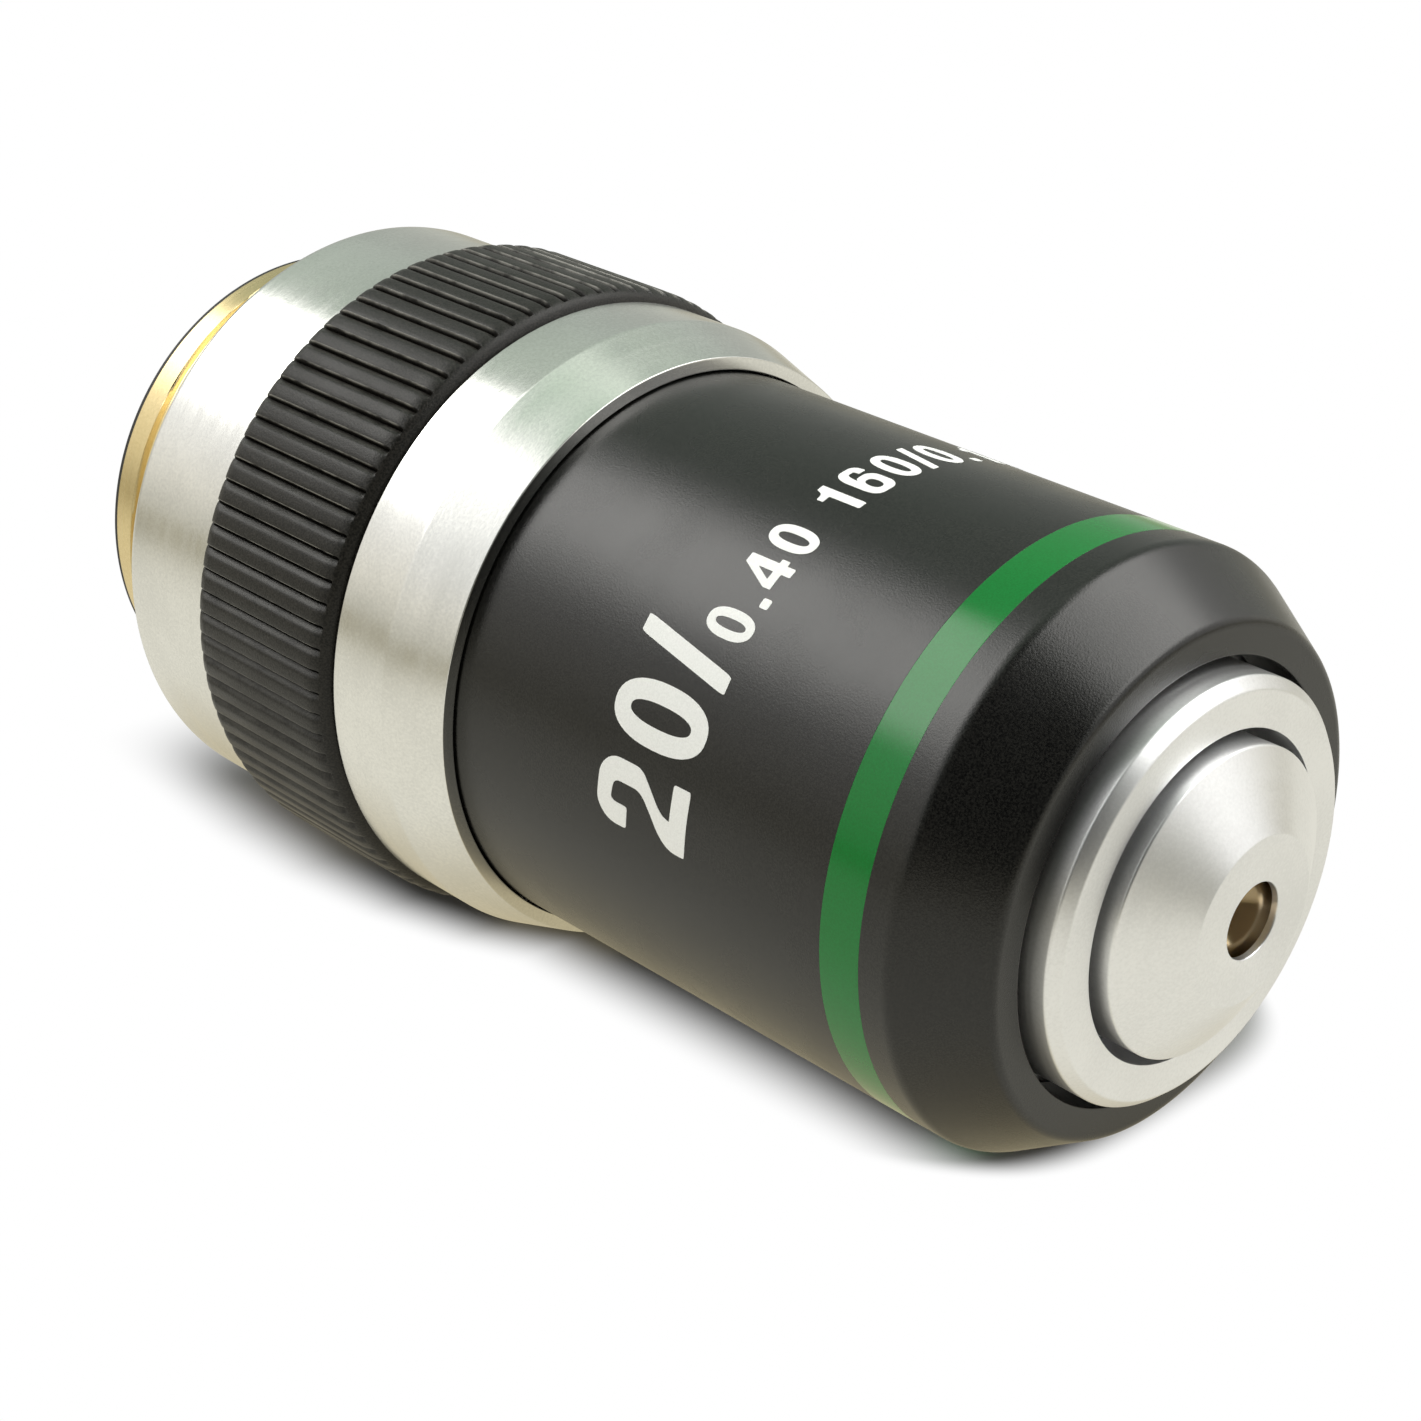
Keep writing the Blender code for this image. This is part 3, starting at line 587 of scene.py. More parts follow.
def turned(name, corners, segments=ROUND):
    """Spin an outline of corners, eased, into a solid, as on a lathe."""
    shape = bmesh.new()
    points = [shape.verts.new((r, 0.0, z)) for r, z in eased(corners)]
    sides = []
    for index, point in enumerate(points):
        before = points[index - 1]
        if point.co.x > CLOSE or before.co.x > CLOSE:
            sides.append(shape.edges.new((before, point)))
    bmesh.ops.spin(shape, geom=points + sides, cent=(0, 0, 0), axis=(0, 0, 1),
                   angle=FULL_TURN, steps=segments, use_merge=True)
    return finish_mesh(name, shape)


def stand_for(piece, node, finish=None):
    """Let a piece take a CAD node's place and body, in this finish or the finish of the node's
    slot.
    """
    body, slot = facts[node]
    piece.data.materials.clear()
    piece.data.materials.append(finishes[finish or slot])
    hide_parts(node)
    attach(piece, body)
    return piece


def keep_result(piece, modifier):
    """Apply a modifier by keeping the evaluated mesh in its place."""
    bpy.context.view_layer.update()
    evaluated = piece.evaluated_get(bpy.context.evaluated_depsgraph_get())
    result = bpy.data.meshes.new_from_object(evaluated)
    piece.modifiers.remove(modifier)
    piece.data = result


def cut_away(piece, cutter):
    """Take the cutter's shape out of a piece for good."""
    difference = piece.modifiers.new("cut", "BOOLEAN")
    difference.object = cutter
    difference.operation = "DIFFERENCE"
    difference.solver = "EXACT"
    keep_result(piece, difference)
    bpy.data.objects.remove(cutter)
    piece.data.set_sharp_from_angle(angle=SHARP_ANGLE)


def box_cutter(size, place):
    shape = bmesh.new()
    stretched = Matrix.Translation(place) @ Matrix.Diagonal((*size, 1.0))
    bmesh.ops.create_cube(shape, size=1.0, matrix=stretched)
    return finish_mesh("box_cutter", shape)


def rod_cutter(radius, start, end):
    """A round rod along +Y that only cuts."""
    shape = bmesh.new()
    middle = (Vector(start) + Vector(end)) / 2
    placed = Matrix.Translation(middle) @ Matrix.Rotation(math.radians(90), 4, "X")
    bmesh.ops.create_cone(shape, cap_ends=True, segments=ROD_ROUND, radius1=radius,
                          radius2=radius, depth=(Vector(end) - Vector(start)).length,
                          matrix=placed)
    return finish_mesh("rod_cutter", shape)


# Geometry Nodes: the mounting thread and the knurling

def geometry_tree(name, inputs):
    """A Geometry Nodes tree from a mesh and these named inputs to a mesh."""
    mesh = {"Geometry": "Geometry"}
    return new_group("GeometryNodeTree", name, {**mesh, **inputs, "Finish": "Material"}, mesh)


def end_tree(tree, given, result, geometry):
    """Realize what was made and give it its finish."""
    real = add_node(tree, "GeometryNodeRealizeInstances", {0: geometry})
    coated = add_node(tree, "GeometryNodeSetMaterial", {0: real.outputs[0]})
    tree.links.new(given.outputs["Finish"], coated.inputs["Material"])
    tree.links.new(coated.outputs[0], result.inputs[0])


def run_tree(piece, tree, values):
    """Run a tree on a piece with these inputs, and keep its result as the piece's mesh."""
    modifier = piece.modifiers.new(tree.name, "NODES")
    modifier.node_group = tree
    for item in tree.interface.items_tree:
        if item.in_out == "INPUT" and item.name in values:
            modifier[item.identifier] = values[item.name]
    keep_result(piece, modifier)


def thread_tree():
    """Cut a right-handed thread into whatever stands beyond its root."""
    tree, given, result = geometry_tree("cut the thread", {
        "Crest radius": "Float", "Depth": "Float", "Pitch": "Float", "Rounding": "Float"})
    place = add_node(tree, "GeometryNodeInputPosition").outputs[0]
    x, y, z = add_node(tree, "ShaderNodeSeparateXYZ", {0: place}).outputs
    radius = axis_distance(x, y)
    turn = calc("DIVIDE", calc("ARCTAN2", y, x), FULL_TURN)
    climb = calc("SUBTRACT", calc("DIVIDE", z, given.outputs["Pitch"]), turn)
    phase = calc("FRACT", calc("ADD", climb, 100.0))   # never below zero
    flank = calc("ABSOLUTE", calc("SUBTRACT", times(phase, 2.0), 1.0))
    rounding = given.outputs["Rounding"]
    ridge = rescale(flank, rounding, calc("SUBTRACT", 1.0, rounding))
    depth = given.outputs["Depth"]
    root = calc("SUBTRACT", given.outputs["Crest radius"], depth)
    formed = calc("ADD", root, times(ridge, depth))
    scale = calc("DIVIDE", calc("MINIMUM", radius, formed), radius)
    moved = add_node(tree, "ShaderNodeCombineXYZ", {0: times(x, scale), 1: times(y, scale), 2: z})
    cut = add_node(tree, "GeometryNodeSetPosition", {
        "Geometry": given.outputs["Geometry"], "Position": moved.outputs[0]})
    end_tree(tree, given, result, cut.outputs[0])
    return tree


def knurl_tree():
    """Repeat one groove, with half a ridge on either side, round the axis."""
    tree, given, result = geometry_tree("repeat the groove", {"Grooves": "Int", "Weld": "Float"})
    count = given.outputs["Grooves"]
    spots = add_node(tree, "GeometryNodePoints", {"Count": count})
    index = add_node(tree, "GeometryNodeInputIndex").outputs[0]
    angle = times(calc("DIVIDE", index, count), FULL_TURN)
    turn = add_node(tree, "ShaderNodeCombineXYZ", {2: angle})
    copies = add_node(tree, "GeometryNodeInstanceOnPoints", {
        "Points": spots.outputs[0], "Instance": given.outputs["Geometry"],
        "Rotation": turn.outputs[0]})
    real = add_node(tree, "GeometryNodeRealizeInstances", {0: copies.outputs[0]})
    weld = add_node(tree, "GeometryNodeMergeByDistance", {
        "Geometry": real.outputs[0], "Distance": given.outputs["Weld"]})
    end_tree(tree, given, result, weld.outputs[0])
    return tree


# Housing

def turn_mount_barrel():
    """Brass barrel: blackened bore, plain pilot, mounting thread and the long hidden tube."""
    node = "mount_barrel"
    levels = heights(node)
    foot, pilot_ease, pilot_top, lead_top, thread_top = levels[:5]
    tube_ease, tube_top = levels[-2:]
    rear_bore, pilot_foot = radii(node, foot)
    pilot = radii(node, pilot_ease)[-1]
    thread = radii(node, lead_top)[-1]
    tube = radii(node, thread_top)[0]
    guide = radii(node, tube_top)[0]
    neck, guide_rear = [z for z in levels if z > thread_top][:2]
    lead = thread - radii(node, pilot_top)[-1]
    length = thread_top - pilot_top
    rows = [pilot_top + length * row / THREAD_ROWS for row in range(THREAD_ROWS + 1)]
    corners = [
        (rear_bore, foot, TINY_EASE), (pilot, foot, pilot - pilot_foot), (pilot, pilot_top),
        *[(thread - max(0.0, lead - (z - pilot_top)), z) for z in rows], (tube, thread_top),
        (tube, tube_top, tube_top - tube_ease), (guide, tube_top), (guide, guide_rear),
        (rear_bore, neck)]
    barrel = turned("brass_mount_barrel", corners)
    run_tree(barrel, thread_tree(), {
        "Crest radius": thread, "Depth": THREAD_DEPTH, "Pitch": THREAD_PITCH,
        "Rounding": THREAD_CREST, "Finish": finishes["thread_brass"]})
    low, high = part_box("guide_screw")
    middle = (low.z + high.z) / 2
    start, end = (0, guide - SCREW_GAP, middle), (0, tube + SCREW_GAP, middle)
    cut_away(barrel, rod_cutter(high.x + SCREW_GAP, start, end))
    stand_for(barrel, node)


def turn_shoulder_ring():
    node = "shoulder_ring"
    shoulder, bevel_top, ledge, front = heights(node)
    recess = radii(node, shoulder)[0]
    bore = radii(node, ledge)[0]
    outer = radii(node, front)[-1]
    corners = [
        (bore, ledge), (recess, ledge), (recess, shoulder, TINY_EASE),
        (outer, shoulder, bevel_top - shoulder), (outer, front, TINY_EASE), (bore, front)]
    stand_for(turned("silver_shoulder_ring", corners), node)


def turn_rear_shell():
    node = "rear_shell"
    seat, land, shelf, taper, lip, front = heights(node)
    bore, grip_seat = radii(node, seat)
    outer = radii(node, land)[-1]
    socket = radii(node, shelf)[-1]
    mouth, step = radii(node, front)
    mouth -= LIP_CLOSE
    corners = [
        (bore, seat), (grip_seat, seat), (grip_seat, land), (outer, land, TINY_EASE),
        (outer, taper, SMALL_EASE), (step, front, TINY_EASE), (mouth, front, TINY_EASE),
        (mouth, lip), (socket, lip), (socket, shelf), (bore, shelf)]
    stand_for(turned("silver_rear_shell", corners), node)


def groove_section(crest, share, drop):
    """Points (turn, radius) across a pitch, with the groove at a share of its depth."""
    return [(turn, crest - (drop + deep * share) * MM) for turn, deep in GROOVE]


def face_outwards(piece):
    """Turn a closed mesh's faces outwards and mark its sharp edges again."""
    shape = bmesh.new()
    shape.from_mesh(piece.data)
    bmesh.ops.recalc_face_normals(shape, faces=shape.faces)
    shape.to_mesh(piece.data)
    shape.free()
    piece.data.shade_smooth()
    piece.data.set_sharp_from_angle(angle=SHARP_ANGLE)


def knurl_grip_ring():
    """Black grip ring: one groove is built in full and repeated round the ring."""
    node = "grip_ring"
    rear, _, groove_end, front = heights(node)
    bore, _, crest = radii(node, rear)
    inside = [(turn, bore) for turn, _ in GROOVE]
    rows = [(rear, inside)]
    for base, run_out in ((rear, KNURL_START), (groove_end, KNURL_END)):
        for rise, share, drop in run_out:
            rows.append((base + rise * MM, groove_section(crest, share, drop)))
    rows.append((front, inside))

    shape = bmesh.new()
    pitch = FULL_TURN / GROOVE_COUNT
    grid = []
    for z, section in rows:
        grid.append([shape.verts.new((r * math.cos(turn * pitch), r * math.sin(turn * pitch), z))
                     for turn, r in section])
    for low, high in zip(grid, grid[1:] + grid[:1]):
        for index in range(len(low) - 1):
            shape.faces.new((low[index], low[index + 1], high[index + 1], high[index]))
    grip = finish_mesh("black_grip_ring", shape)
    run_tree(grip, knurl_tree(), {
        "Grooves": GROOVE_COUNT, "Weld": GROOVE_WELD, "Finish": finishes["grip_black"]})
    face_outwards(grip)
    stand_for(grip, node)


def turn_front_sleeve():
    """Black sleeve with its band groove, cone and mouth."""
    node = "front_sleeve"
    levels = heights(node)
    rear, chamber = levels[:2]
    face = levels[-1]
    skirt, outer = radii(node, rear)
    mouth, *_, cone_foot = radii(node, face)
    cone_end = cone_foot + CORNER_ROUND
    full = [z for z in levels if abs(radii(node, z)[-1] - outer) < CLOSE]
    cone = full[-1] + CORNER_ROUND
    groove_low, groove_high = [z for z in full if len(radii(node, z)) == 2][-2:]
    groove = radii(node, groove_low)[0]
    narrow = [z for z in levels if abs(radii(node, z)[0] - mouth) < CLOSE]
    stop = [z for z in narrow if z > groove_high][0]
    bore = radii(node, chamber)[-1]
    corners = [
        (skirt, rear), (outer, rear, TINY_EASE), (outer, groove_low, ENAMEL_EASE),
        (groove, groove_low), (groove, groove_high), (outer, groove_high, ENAMEL_EASE),
        (outer, cone, CORNER_ROUND), (cone_end, face, CORNER_ROUND), (mouth, face, SMALL_EASE),
        (mouth, stop), (bore, stop), (bore, chamber), (skirt, chamber)]
    stand_for(turned("black_front_sleeve", corners), node)


def turn_colour_band():
    node = "colour_band"
    low, high = heights(node)
    inner, outer = radii(node, low)
    low -= ENAMEL_FILL
    high += ENAMEL_FILL
    corners = [(inner, low), (outer, low, ENAMEL_EASE), (outer, high, ENAMEL_EASE), (inner, high)]
    stand_for(turned("green_colour_band", corners), node)


# Nose

def turn_nose_barrel():
    node = "nose_barrel"
    levels = heights(node)
    rear, rear_bevel = levels[:2]
    seat, front_bevel, face = levels[-3:]
    bore = radii(node, rear)[0]
    outer = radii(node, front_bevel)[-1]
    flange_rear, flange_front = [z for z in levels if radii(node, z)[-1] > outer + CLOSE]
    flange = radii(node, flange_front)[-1]
    mouth = radii(node, face)[0]
    bevel = face - front_bevel
    corners = [
        (bore, rear, TINY_EASE), (outer - bevel, rear, TINY_EASE),
        (outer, rear_bevel, TINY_EASE), (outer, flange_rear), (flange, flange_rear, TINY_EASE),
        (flange, flange_front, TINY_EASE), (outer, flange_front),
        (outer, front_bevel, SMALL_EASE), (outer - bevel, face, SMALL_EASE),
        (mouth, face, TINY_EASE), (mouth, seat), (bore, seat)]
    barrel = turned("silver_nose_barrel", corners)
    reach = 2 * (outer - KEYWAY_FLOOR)
    place = (0, KEYWAY_FLOOR + reach / 2, (KEYWAY_LOW + KEYWAY_HIGH) / 2)
    cut_away(barrel, box_cutter((KEYWAY_WIDTH, reach, KEYWAY_HIGH - KEYWAY_LOW), place))
    stand_for(barrel, node, "bright_nickel")


def turn_front_cell():
    """Silver cone at the tip, round the hole of the front lens."""
    node = "front_cell"
    levels = heights(node)
    rear, flange_z, pocket_rear = levels[:3]
    tip = levels[-1]
    inner, stack = radii(node, rear)
    outer = radii(node, flange_z)[0]
    hole = min(radii(node, z)[0] for z in levels)
    narrow = [z for z in levels if abs(radii(node, z)[0] - hole) < CLOSE]
    lip_z = [z for z in narrow if len(radii(node, z)) == 2][-1]
    pocket = radii(node, pocket_rear)[-1]
    edge_z = [z for z in levels if abs(radii(node, z)[-1] - outer) < CLOSE][-1] + CELL_EDGE_EASE
    corners = [
        (inner, rear), (stack, rear), (stack, flange_z), (outer, flange_z),
        (outer, edge_z, SMALL_EASE), (radii(node, tip)[-1], tip, TINY_EASE),
        (hole, tip, SMALL_EASE), (hole, lip_z), (pocket, lip_z), (pocket, pocket_rear)]
    stand_for(turned("silver_front_cell", corners), node, "bright_nickel")


def sphere_face(rim, rim_z, pole_z):
    """Points (radius, height) of a domed face from the axis to its rim."""
    dome = pole_z - rim_z
    if abs(dome) < CLOSE:
        return [(0.0, pole_z), (rim, rim_z)]
    curve = (rim ** 2 + dome ** 2) / (2 * abs(dome))
    points = []
    for step in range(DOME_STEPS + 1):
        r = rim * step / DOME_STEPS
        fall = curve - math.sqrt(curve ** 2 - r ** 2)
        points.append((r, pole_z - math.copysign(fall, dome)))
    return points


def polish_lens(node, finish=None):
    """A lens with true spherical faces between the solid's poles and rims."""
    levels = heights(node)
    rim = max(vertex.co.xy.length for vertex in frame["nodes"][node].data.vertices)
    rims = [z for z in levels if radii(node, z)[-1] > rim - CLOSE]
    poles = [z for z in levels if radii(node, z)[0] < CLOSE]
    front = sphere_face(rim, rims[-1], poles[-1])
    rear = sphere_face(rim, rims[0], poles[0])
    stand_for(turned("ground_" + node, front + rear[::-1], LENS_ROUND), node, finish)


def turn_plain_ring(node):
    """A black ring with square shoulders and lightly broken edges."""
    low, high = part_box(node)[0].z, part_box(node)[1].z
    inner = radii(node, high)[0]
    outer = radii(node, high)[-1]
    corners = [(inner, low, TINY_EASE), (outer, low, TINY_EASE), (outer, high, TINY_EASE),
               (inner, high, TINY_EASE)]
    return stand_for(turned("black_" + node, corners, RING_ROUND), node)


def turn_slotted_ring(node):
    """A plain ring with two spanner slots across its rear face."""
    ring = turn_plain_ring(node)
    low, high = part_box(node)
    size = (2 * (high.x - low.x), SLOT_WIDTH, 2 * SLOT_DEPTH)
    cut_away(ring, box_cutter(size, (0, 0, low.z)))


# Numerals

def oval(centre_x, centre_y, half_width, half_height, squareness=2.35, steps=40):
    """A closed rounded outline, slightly squarer than an ellipse."""
    points = []
    for step in range(steps):
        angle = FULL_TURN * step / steps
        across = math.copysign(abs(math.cos(angle)) ** (2 / squareness), math.cos(angle))
        up = math.copysign(abs(math.sin(angle)) ** (2 / squareness), math.sin(angle))
        points.append((centre_x + half_width * across, centre_y + half_height * up))
    return points


def softened(corners, steps=6):
    """A closed outline from (x, y, softness): at 1 a corner is rounded from side to side."""
    points = []
    for index, (x, y, softness) in enumerate(corners):
        here = Vector((x, y))
        before = Vector(corners[index - 1][:2])
        after = Vector(corners[(index + 1) % len(corners)][:2])
        start = here.lerp((here + before) / 2, softness)
        end = here.lerp((here + after) / 2, softness)
        for spot in rounded(start, here, end, steps):
            if not points or (spot - points[-1]).length > SAME_SPOT:
                points.append(spot)
    if (points[0] - points[-1]).length < SAME_SPOT:
        points.pop()
    return points


# Each sign's outlines in cap heights, its outer one first
numeral_outlines = {
    "0": [oval(0.27, 0.5, 0.27, 0.515), oval(0.27, 0.5, 0.095, 0.34)],
    "1": [softened([
        (0.2, 0.0, 0.2), (0.39, 0.0, 0.2), (0.39, 1.0, 0.1), (0.24, 1.0, 0.3), (0.19, 0.84, 1),
        (0.03, 0.82, 0.3), (0.03, 0.68, 0.3), (0.2, 0.68, 0.2)])],
    "2": [softened([
        (0.0, 0.67, 0.3), (0.0, 0.88, 1), (0.13, 1.02, 1), (0.29, 1.02, 1), (0.45, 1.02, 1),
        (0.57, 0.9, 1), (0.57, 0.72, 1), (0.57, 0.56, 1), (0.46, 0.45, 1), (0.28, 0.3, 1),
        (0.25, 0.19, 0.15), (0.57, 0.19, 0.2), (0.57, 0.0, 0.2), (0.0, 0.0, 0.15), (0.0, 0.17, 1),
        (0.09, 0.3, 1), (0.24, 0.41, 1), (0.38, 0.54, 1), (0.38, 0.7, 1), (0.38, 0.84, 1),
        (0.28, 0.86, 1), (0.19, 0.86, 1), (0.19, 0.67, 0.3)])],
    "4": [
        softened([
            (0.0, 0.37, 0.2), (0.31, 1.0, 0.1), (0.5, 1.0, 0.2), (0.5, 0.38, 0.1),
            (0.59, 0.38, 0.4), (0.59, 0.2, 0.4), (0.5, 0.2, 0.2), (0.5, 0.0, 0.3),
            (0.32, 0.0, 0.3), (0.32, 0.2, 0.2), (0.0, 0.2, 0.2)]),
        softened([(0.32, 0.38, 0.2), (0.15, 0.38, 0.2), (0.32, 0.72, 0.2)])],
    "6": [
        softened([
            (0.54, 0.76, 0.3), (0.52, 0.93, 1), (0.42, 1.02, 1), (0.3, 1.02, 1), (0.11, 1.02, 1),
            (0.0, 0.83, 1), (0.0, 0.49, 1), (0.0, 0.14, 1), (0.11, -0.02, 1), (0.29, -0.02, 1),
            (0.46, -0.02, 1), (0.57, 0.13, 1), (0.57, 0.33, 1), (0.57, 0.54, 1), (0.45, 0.67, 1),
            (0.31, 0.67, 1), (0.21, 0.66, 0.8), (0.17, 0.59, 0.3), (0.18, 0.74, 1),
            (0.21, 0.86, 1), (0.3, 0.87, 1), (0.36, 0.87, 1), (0.37, 0.75, 0.3)]),
        oval(0.29, 0.32, 0.11, 0.175)],
    "7": [softened([
        (0.0, 1.0, 0.2), (0.56, 1.0, 0.2), (0.56, 0.86, 0.4), (0.4, 0.62, 1), (0.34, 0.35, 1),
        (0.33, 0.0, 0.15), (0.14, 0.0, 0.15), (0.16, 0.33, 1), (0.24, 0.62, 1), (0.36, 0.82, 0.4),
        (0.0, 0.82, 0.2)])],
    "/": [softened([(0.0, -0.02, 0.2), (0.16, -0.02, 0.2), (0.36, 1.02, 0.2), (0.2, 1.02, 0.2)])],
    ".": [softened([(0.0, 0.0, 0.5), (0.19, 0.0, 0.5), (0.19, 0.19, 0.5), (0.0, 0.19, 0.5)])],
}


def fill_outlines(outlines, scale, offset):
    """A flat filled bmesh from closed outlines, the first of them the outer one."""
    shape = bmesh.new()
    rims = []
    for outline in outlines:
        corners = [shape.verts.new((x * scale + offset, y * scale, 0.0)) for x, y in outline]
        for index, corner in enumerate(corners):
            rims.append(shape.edges.new((corners[index - 1], corner)))
    bmesh.ops.triangle_fill(shape, use_beauty=True, edges=rims)
    return shape


def paint_numeral(name, sign, cap, centre, sleeve_r):
    """One white sign, bent round the sleeve with its middle at the centre angle."""
    outlines = numeral_outlines[sign]
    width = max(x for x, _ in outlines[0])
    shape = fill_outlines(outlines, cap, -width * cap / 2)
    slices = int(width * cap / 2 / INK_SLICE) + 1
    for step in range(-slices, slices + 1):
        parts = shape.verts[:] + shape.edges[:] + shape.faces[:]
        bmesh.ops.bisect_plane(shape, geom=parts, dist=WELD, plane_co=(step * INK_SLICE, 0, 0),
                               plane_no=(1, 0, 0))
    raised = bmesh.ops.extrude_face_region(shape, geom=shape.faces[:])
    for part in raised["geom"]:
        if isinstance(part, bmesh.types.BMVert):
            part.co.z = INK_RAISED + INK_SUNK
    for corner in shape.verts:
        angle = centre - corner.co.x / sleeve_r
        reach = sleeve_r - INK_SUNK + corner.co.z
        corner.co = (reach * math.cos(angle), reach * math.sin(angle), FOOT_Z - corner.co.y)
    piece = finish_mesh(name, shape)
    piece.data.materials.append(finishes["numeral_white"])
    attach(piece, facts["front_sleeve"][0])


def paint_numerals():
    """The magnification and aperture, then the tube length and cover glass, as plain numbers."""
    sleeve_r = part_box("colour_band")[1].x
    place = FIRST_CENTRE * sleeve_r
    before = None
    signs = [(sign, CAP_TALL) for sign in "20/"] + [(sign, CAP_SMALL) for sign in "0.40 160/0.17"]
    for index, (sign, cap) in enumerate(signs):
        half = cap * (DIGIT_ADVANCE if sign.isdigit() else POINT_ADVANCE) / 2
        if before is not None:
            place -= before + half
        before = half
        if sign != " ":
            label = {"/": "slash", ".": "point"}.get(sign, sign)
            name = f"numeral_{index:02d}_{label}"
            paint_numeral(name, sign, cap, place / sleeve_r, sleeve_r)


# Stage

def make_camera():
    camera = new_object("camera", bpy.data.cameras.new("camera"))
    forward = CAMERA_FORWARD.normalized()
    right = forward.cross(CAMERA_UP).normalized()
    up = right.cross(forward)
    turn = Matrix((right, up, -forward)).transposed().to_4x4()
    camera.matrix_world = Matrix.Translation(CAMERA_PLACE) @ turn
    camera.data.lens = CAMERA_FOCAL
    camera.data.sensor_width = CAMERA_SENSOR
    camera.data.clip_start, camera.data.clip_end = CAMERA_SEES
    bpy.context.scene.camera = camera


def panel_mask(bearing, lift, panel):
    bearings, lifts = panel
    return times(band_mask(bearing, *bearings), band_mask(lift, *lifts))


def make_studio():
    """The room round the table: white for the camera, soft panels and a grey room for the metal."""
    world = bpy.data.worlds.new("studio")
    bpy.context.scene.world = world
    world.use_nodes = True
    tree = world.node_tree
    tree.nodes.clear()
    ahead = (CAMERA_FORWARD - TABLE_UP * CAMERA_FORWARD.dot(TABLE_UP)).normalized()
    side = ahead.cross(TABLE_UP).normalized()
    look = add_node(tree, "ShaderNodeTexCoord").outputs["Generated"]
    lift = times(calc("ARCSINE", along(look, TABLE_UP)), DEGREES)
    turn = calc("ARCTAN2", along(look, side), along(look, ahead))
    bearing = times(turn, DEGREES)
    aside = calc("ABSOLUTE", bearing)

    room = ramp(lift, ROOM_TONES)
    room = mix_colours(rescale(aside, *BEHIND), room, BEHIND_TONE)
    walls = times(band_mask(aside, *WALL_BEARINGS), rescale(lift, *WALL_TOP))
    room = mix_colours(walls, room, ramp(lift, WALL_TONES))
    room = mix_colours(panel_mask(bearing, lift, LOW_PANEL), room, LOW_PANEL_TONE)
    left, right = [panel_mask(bearing, lift, panel) for panel in (LEFT_PANEL, RIGHT_PANEL)]
    room = mix_colours(largest(left, right), room, PANEL_TONE)

    surround = add_node(tree, "ShaderNodeBackground", {"Color": room})
    white = add_node(tree, "ShaderNodeBackground", {"Color": WHITE})
    rays = add_node(tree, "ShaderNodeLightPath").outputs
    seen = largest(rays["Is Camera Ray"], rays["Is Transmission Ray"])
    both = mix_shaders(seen, surround, white)
    output = add_node(tree, "ShaderNodeOutputWorld")
    tree.links.new(both.outputs[0], output.inputs[0])


def shadow_mask(across, length, start, end):
    """1 where the table takes the object's shadow, from a place on it in millimetres."""
    bend = rescale(across, *CURVE_BEND)
    off_middle = calc("ABSOLUTE", calc("SUBTRACT", across, CURVE_MIDDLE))
    curve = times(calc("POWER", off_middle, 4.0), bend)
    past_nose = calc("ADD", length, calc("SUBTRACT", curve, CURVE_TIP))
    centimetres = times(across, 0.1)
    lit = [
        rescale(centimetres, start, end),
        rescale(across, *SHADOW_FAR_END),
        rescale(length, *SHADOW_REAR_END),
        rescale(past_nose, *CURVE_FADE),
    ]
    return times(*[calc("SUBTRACT", 1.0, share) for share in lit])


def painted_table_glow(tree, place, across, length):
    """What the object mirrors of the table, and its light on the object: a painted glow, with
    painted shade where it touches the table and darker far away.
    """
    beside = rescale(calc("ABSOLUTE", across), *OPEN_BESIDE)
    front, rear = rescale(length, *OPEN_FRONT), rescale(length, *OPEN_REAR)
    open_table = largest(beside, front, rear)
    tone = mix_colours(open_table, PAINTED_TOUCH_SHADE, OPEN_TONE)
    inputs = {0: place, 1: FAR_CENTRE}
    away = add_node(tree, "ShaderNodeVectorMath", inputs, operation="DISTANCE").outputs["Value"]
    tone = mix_colours(rescale(away, *FAR), tone, FAR_TONE)
    return add_node(tree, "ShaderNodeEmission", {"Color": tone})


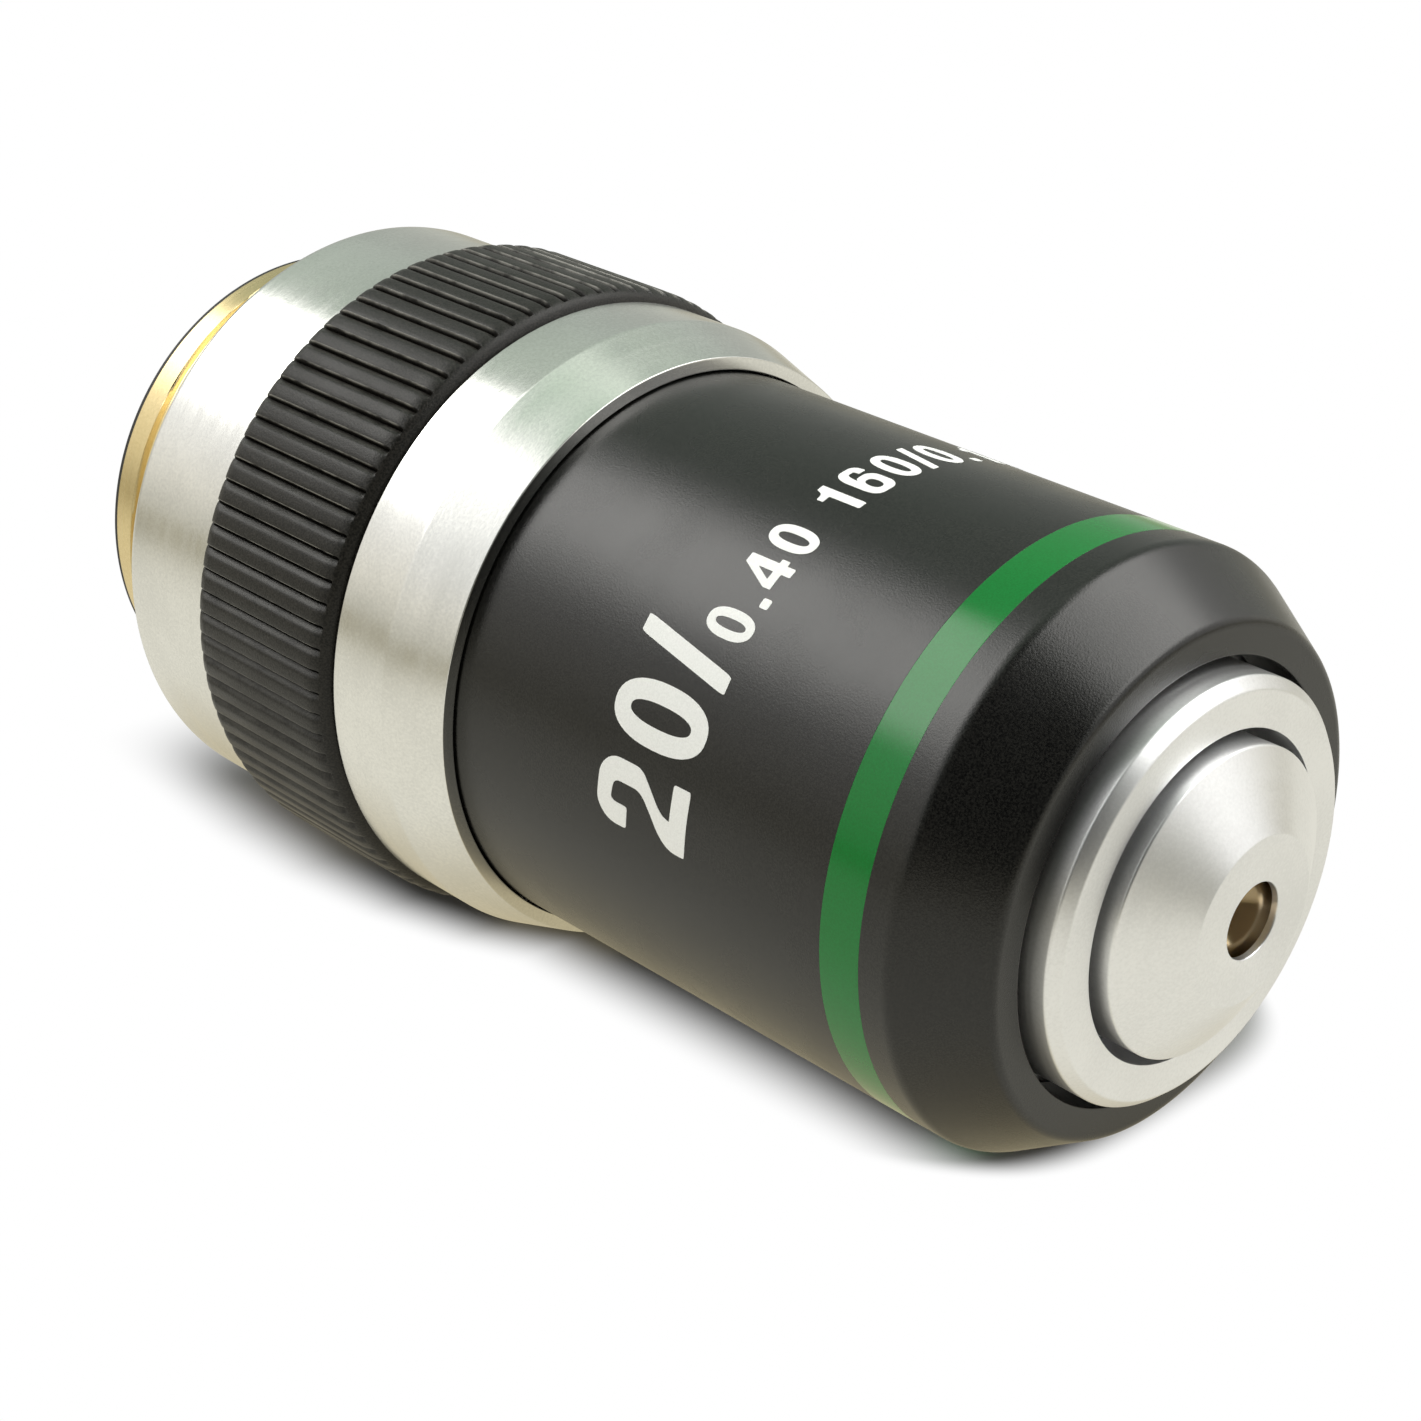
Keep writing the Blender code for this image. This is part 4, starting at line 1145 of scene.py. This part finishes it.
def table_white():
    """White for the camera; beside the object it is matt, takes the real shadow and is darkened
    further by a painted shade tone.
    """
    finish = bpy.data.materials.new("table_white")
    finish.use_nodes = True
    tree = finish.node_tree
    tree.nodes.clear()
    place = object_place(tree)
    across = calc("DIVIDE", along(place, TABLE_ACROSS), MM)
    length = calc("DIVIDE", along(place, TABLE_ALONG), MM)

    # painted shade: the matt table's colour is darkened to a listed brightness along the object,
    # less on its far side
    shadow = ramp(length, SHADOW)
    start, end, painted_shade = add_node(tree, "ShaderNodeSeparateColor", {0: shadow}).outputs
    tone = times(painted_shade, rescale(across, *FAR_SIDE_TONE))
    matt = add_node(tree, "ShaderNodeBsdfDiffuse", {"Color": tone})
    white = add_node(tree, "ShaderNodeEmission", {"Color": WHITE})
    seen = mix_shaders(shadow_mask(across, length, start, end), white, matt)

    camera_ray = add_node(tree, "ShaderNodeLightPath").outputs["Is Camera Ray"]
    # for every ray but the camera's the table is a painted glow, not a lit surface
    table_glow = painted_table_glow(tree, place, across, length)
    both = mix_shaders(camera_ray, table_glow, seen)
    backfacing = add_node(tree, "ShaderNodeNewGeometry").outputs["Backfacing"]
    from_below = times(backfacing, camera_ray)
    clear = add_node(tree, "ShaderNodeBsdfTransparent")
    output = add_node(tree, "ShaderNodeOutputMaterial")
    tree.links.new(mix_shaders(from_below, both, clear).outputs[0], output.inputs[0])
    return finish


def make_table():
    """The white table that the objective lies on. It keeps the shadow near the object, real shading
    darkened by a painted shade tone.
    """
    shape = bmesh.new()
    turn = TABLE_UP.to_track_quat("Z", "Y").to_matrix().to_4x4()
    bmesh.ops.create_grid(shape, x_segments=1, y_segments=1, size=TABLE_REACH,
                          matrix=Matrix.Translation(-TABLE_UP * TABLE_DROP) @ turn)
    mesh = bpy.data.meshes.new("table")
    shape.to_mesh(mesh)
    shape.free()
    mesh.materials.append(table_white())
    table = new_object("table", mesh)


def dress_hidden_nodes():
    """Give every CAD node the finish of its slot."""
    for node, (_, slot) in facts.items():
        mesh = frame["nodes"][node].data
        mesh.materials.clear()
        mesh.materials.append(finishes[slot])


bpy.context.scene.view_settings.view_transform = "Standard"
make_camera()
make_studio()
make_table()
dress_hidden_nodes()
turn_mount_barrel()
turn_shoulder_ring()
turn_rear_shell()
knurl_grip_ring()
turn_front_sleeve()
turn_colour_band()
turn_nose_barrel()
turn_front_cell()
polish_lens("front_lens", "amber_glass")
polish_lens("rear_crown")
turn_plain_ring("pupil_stop")
turn_slotted_ring("rear_retainer")
turn_slotted_ring("stack_lock_ring")
paint_numerals()
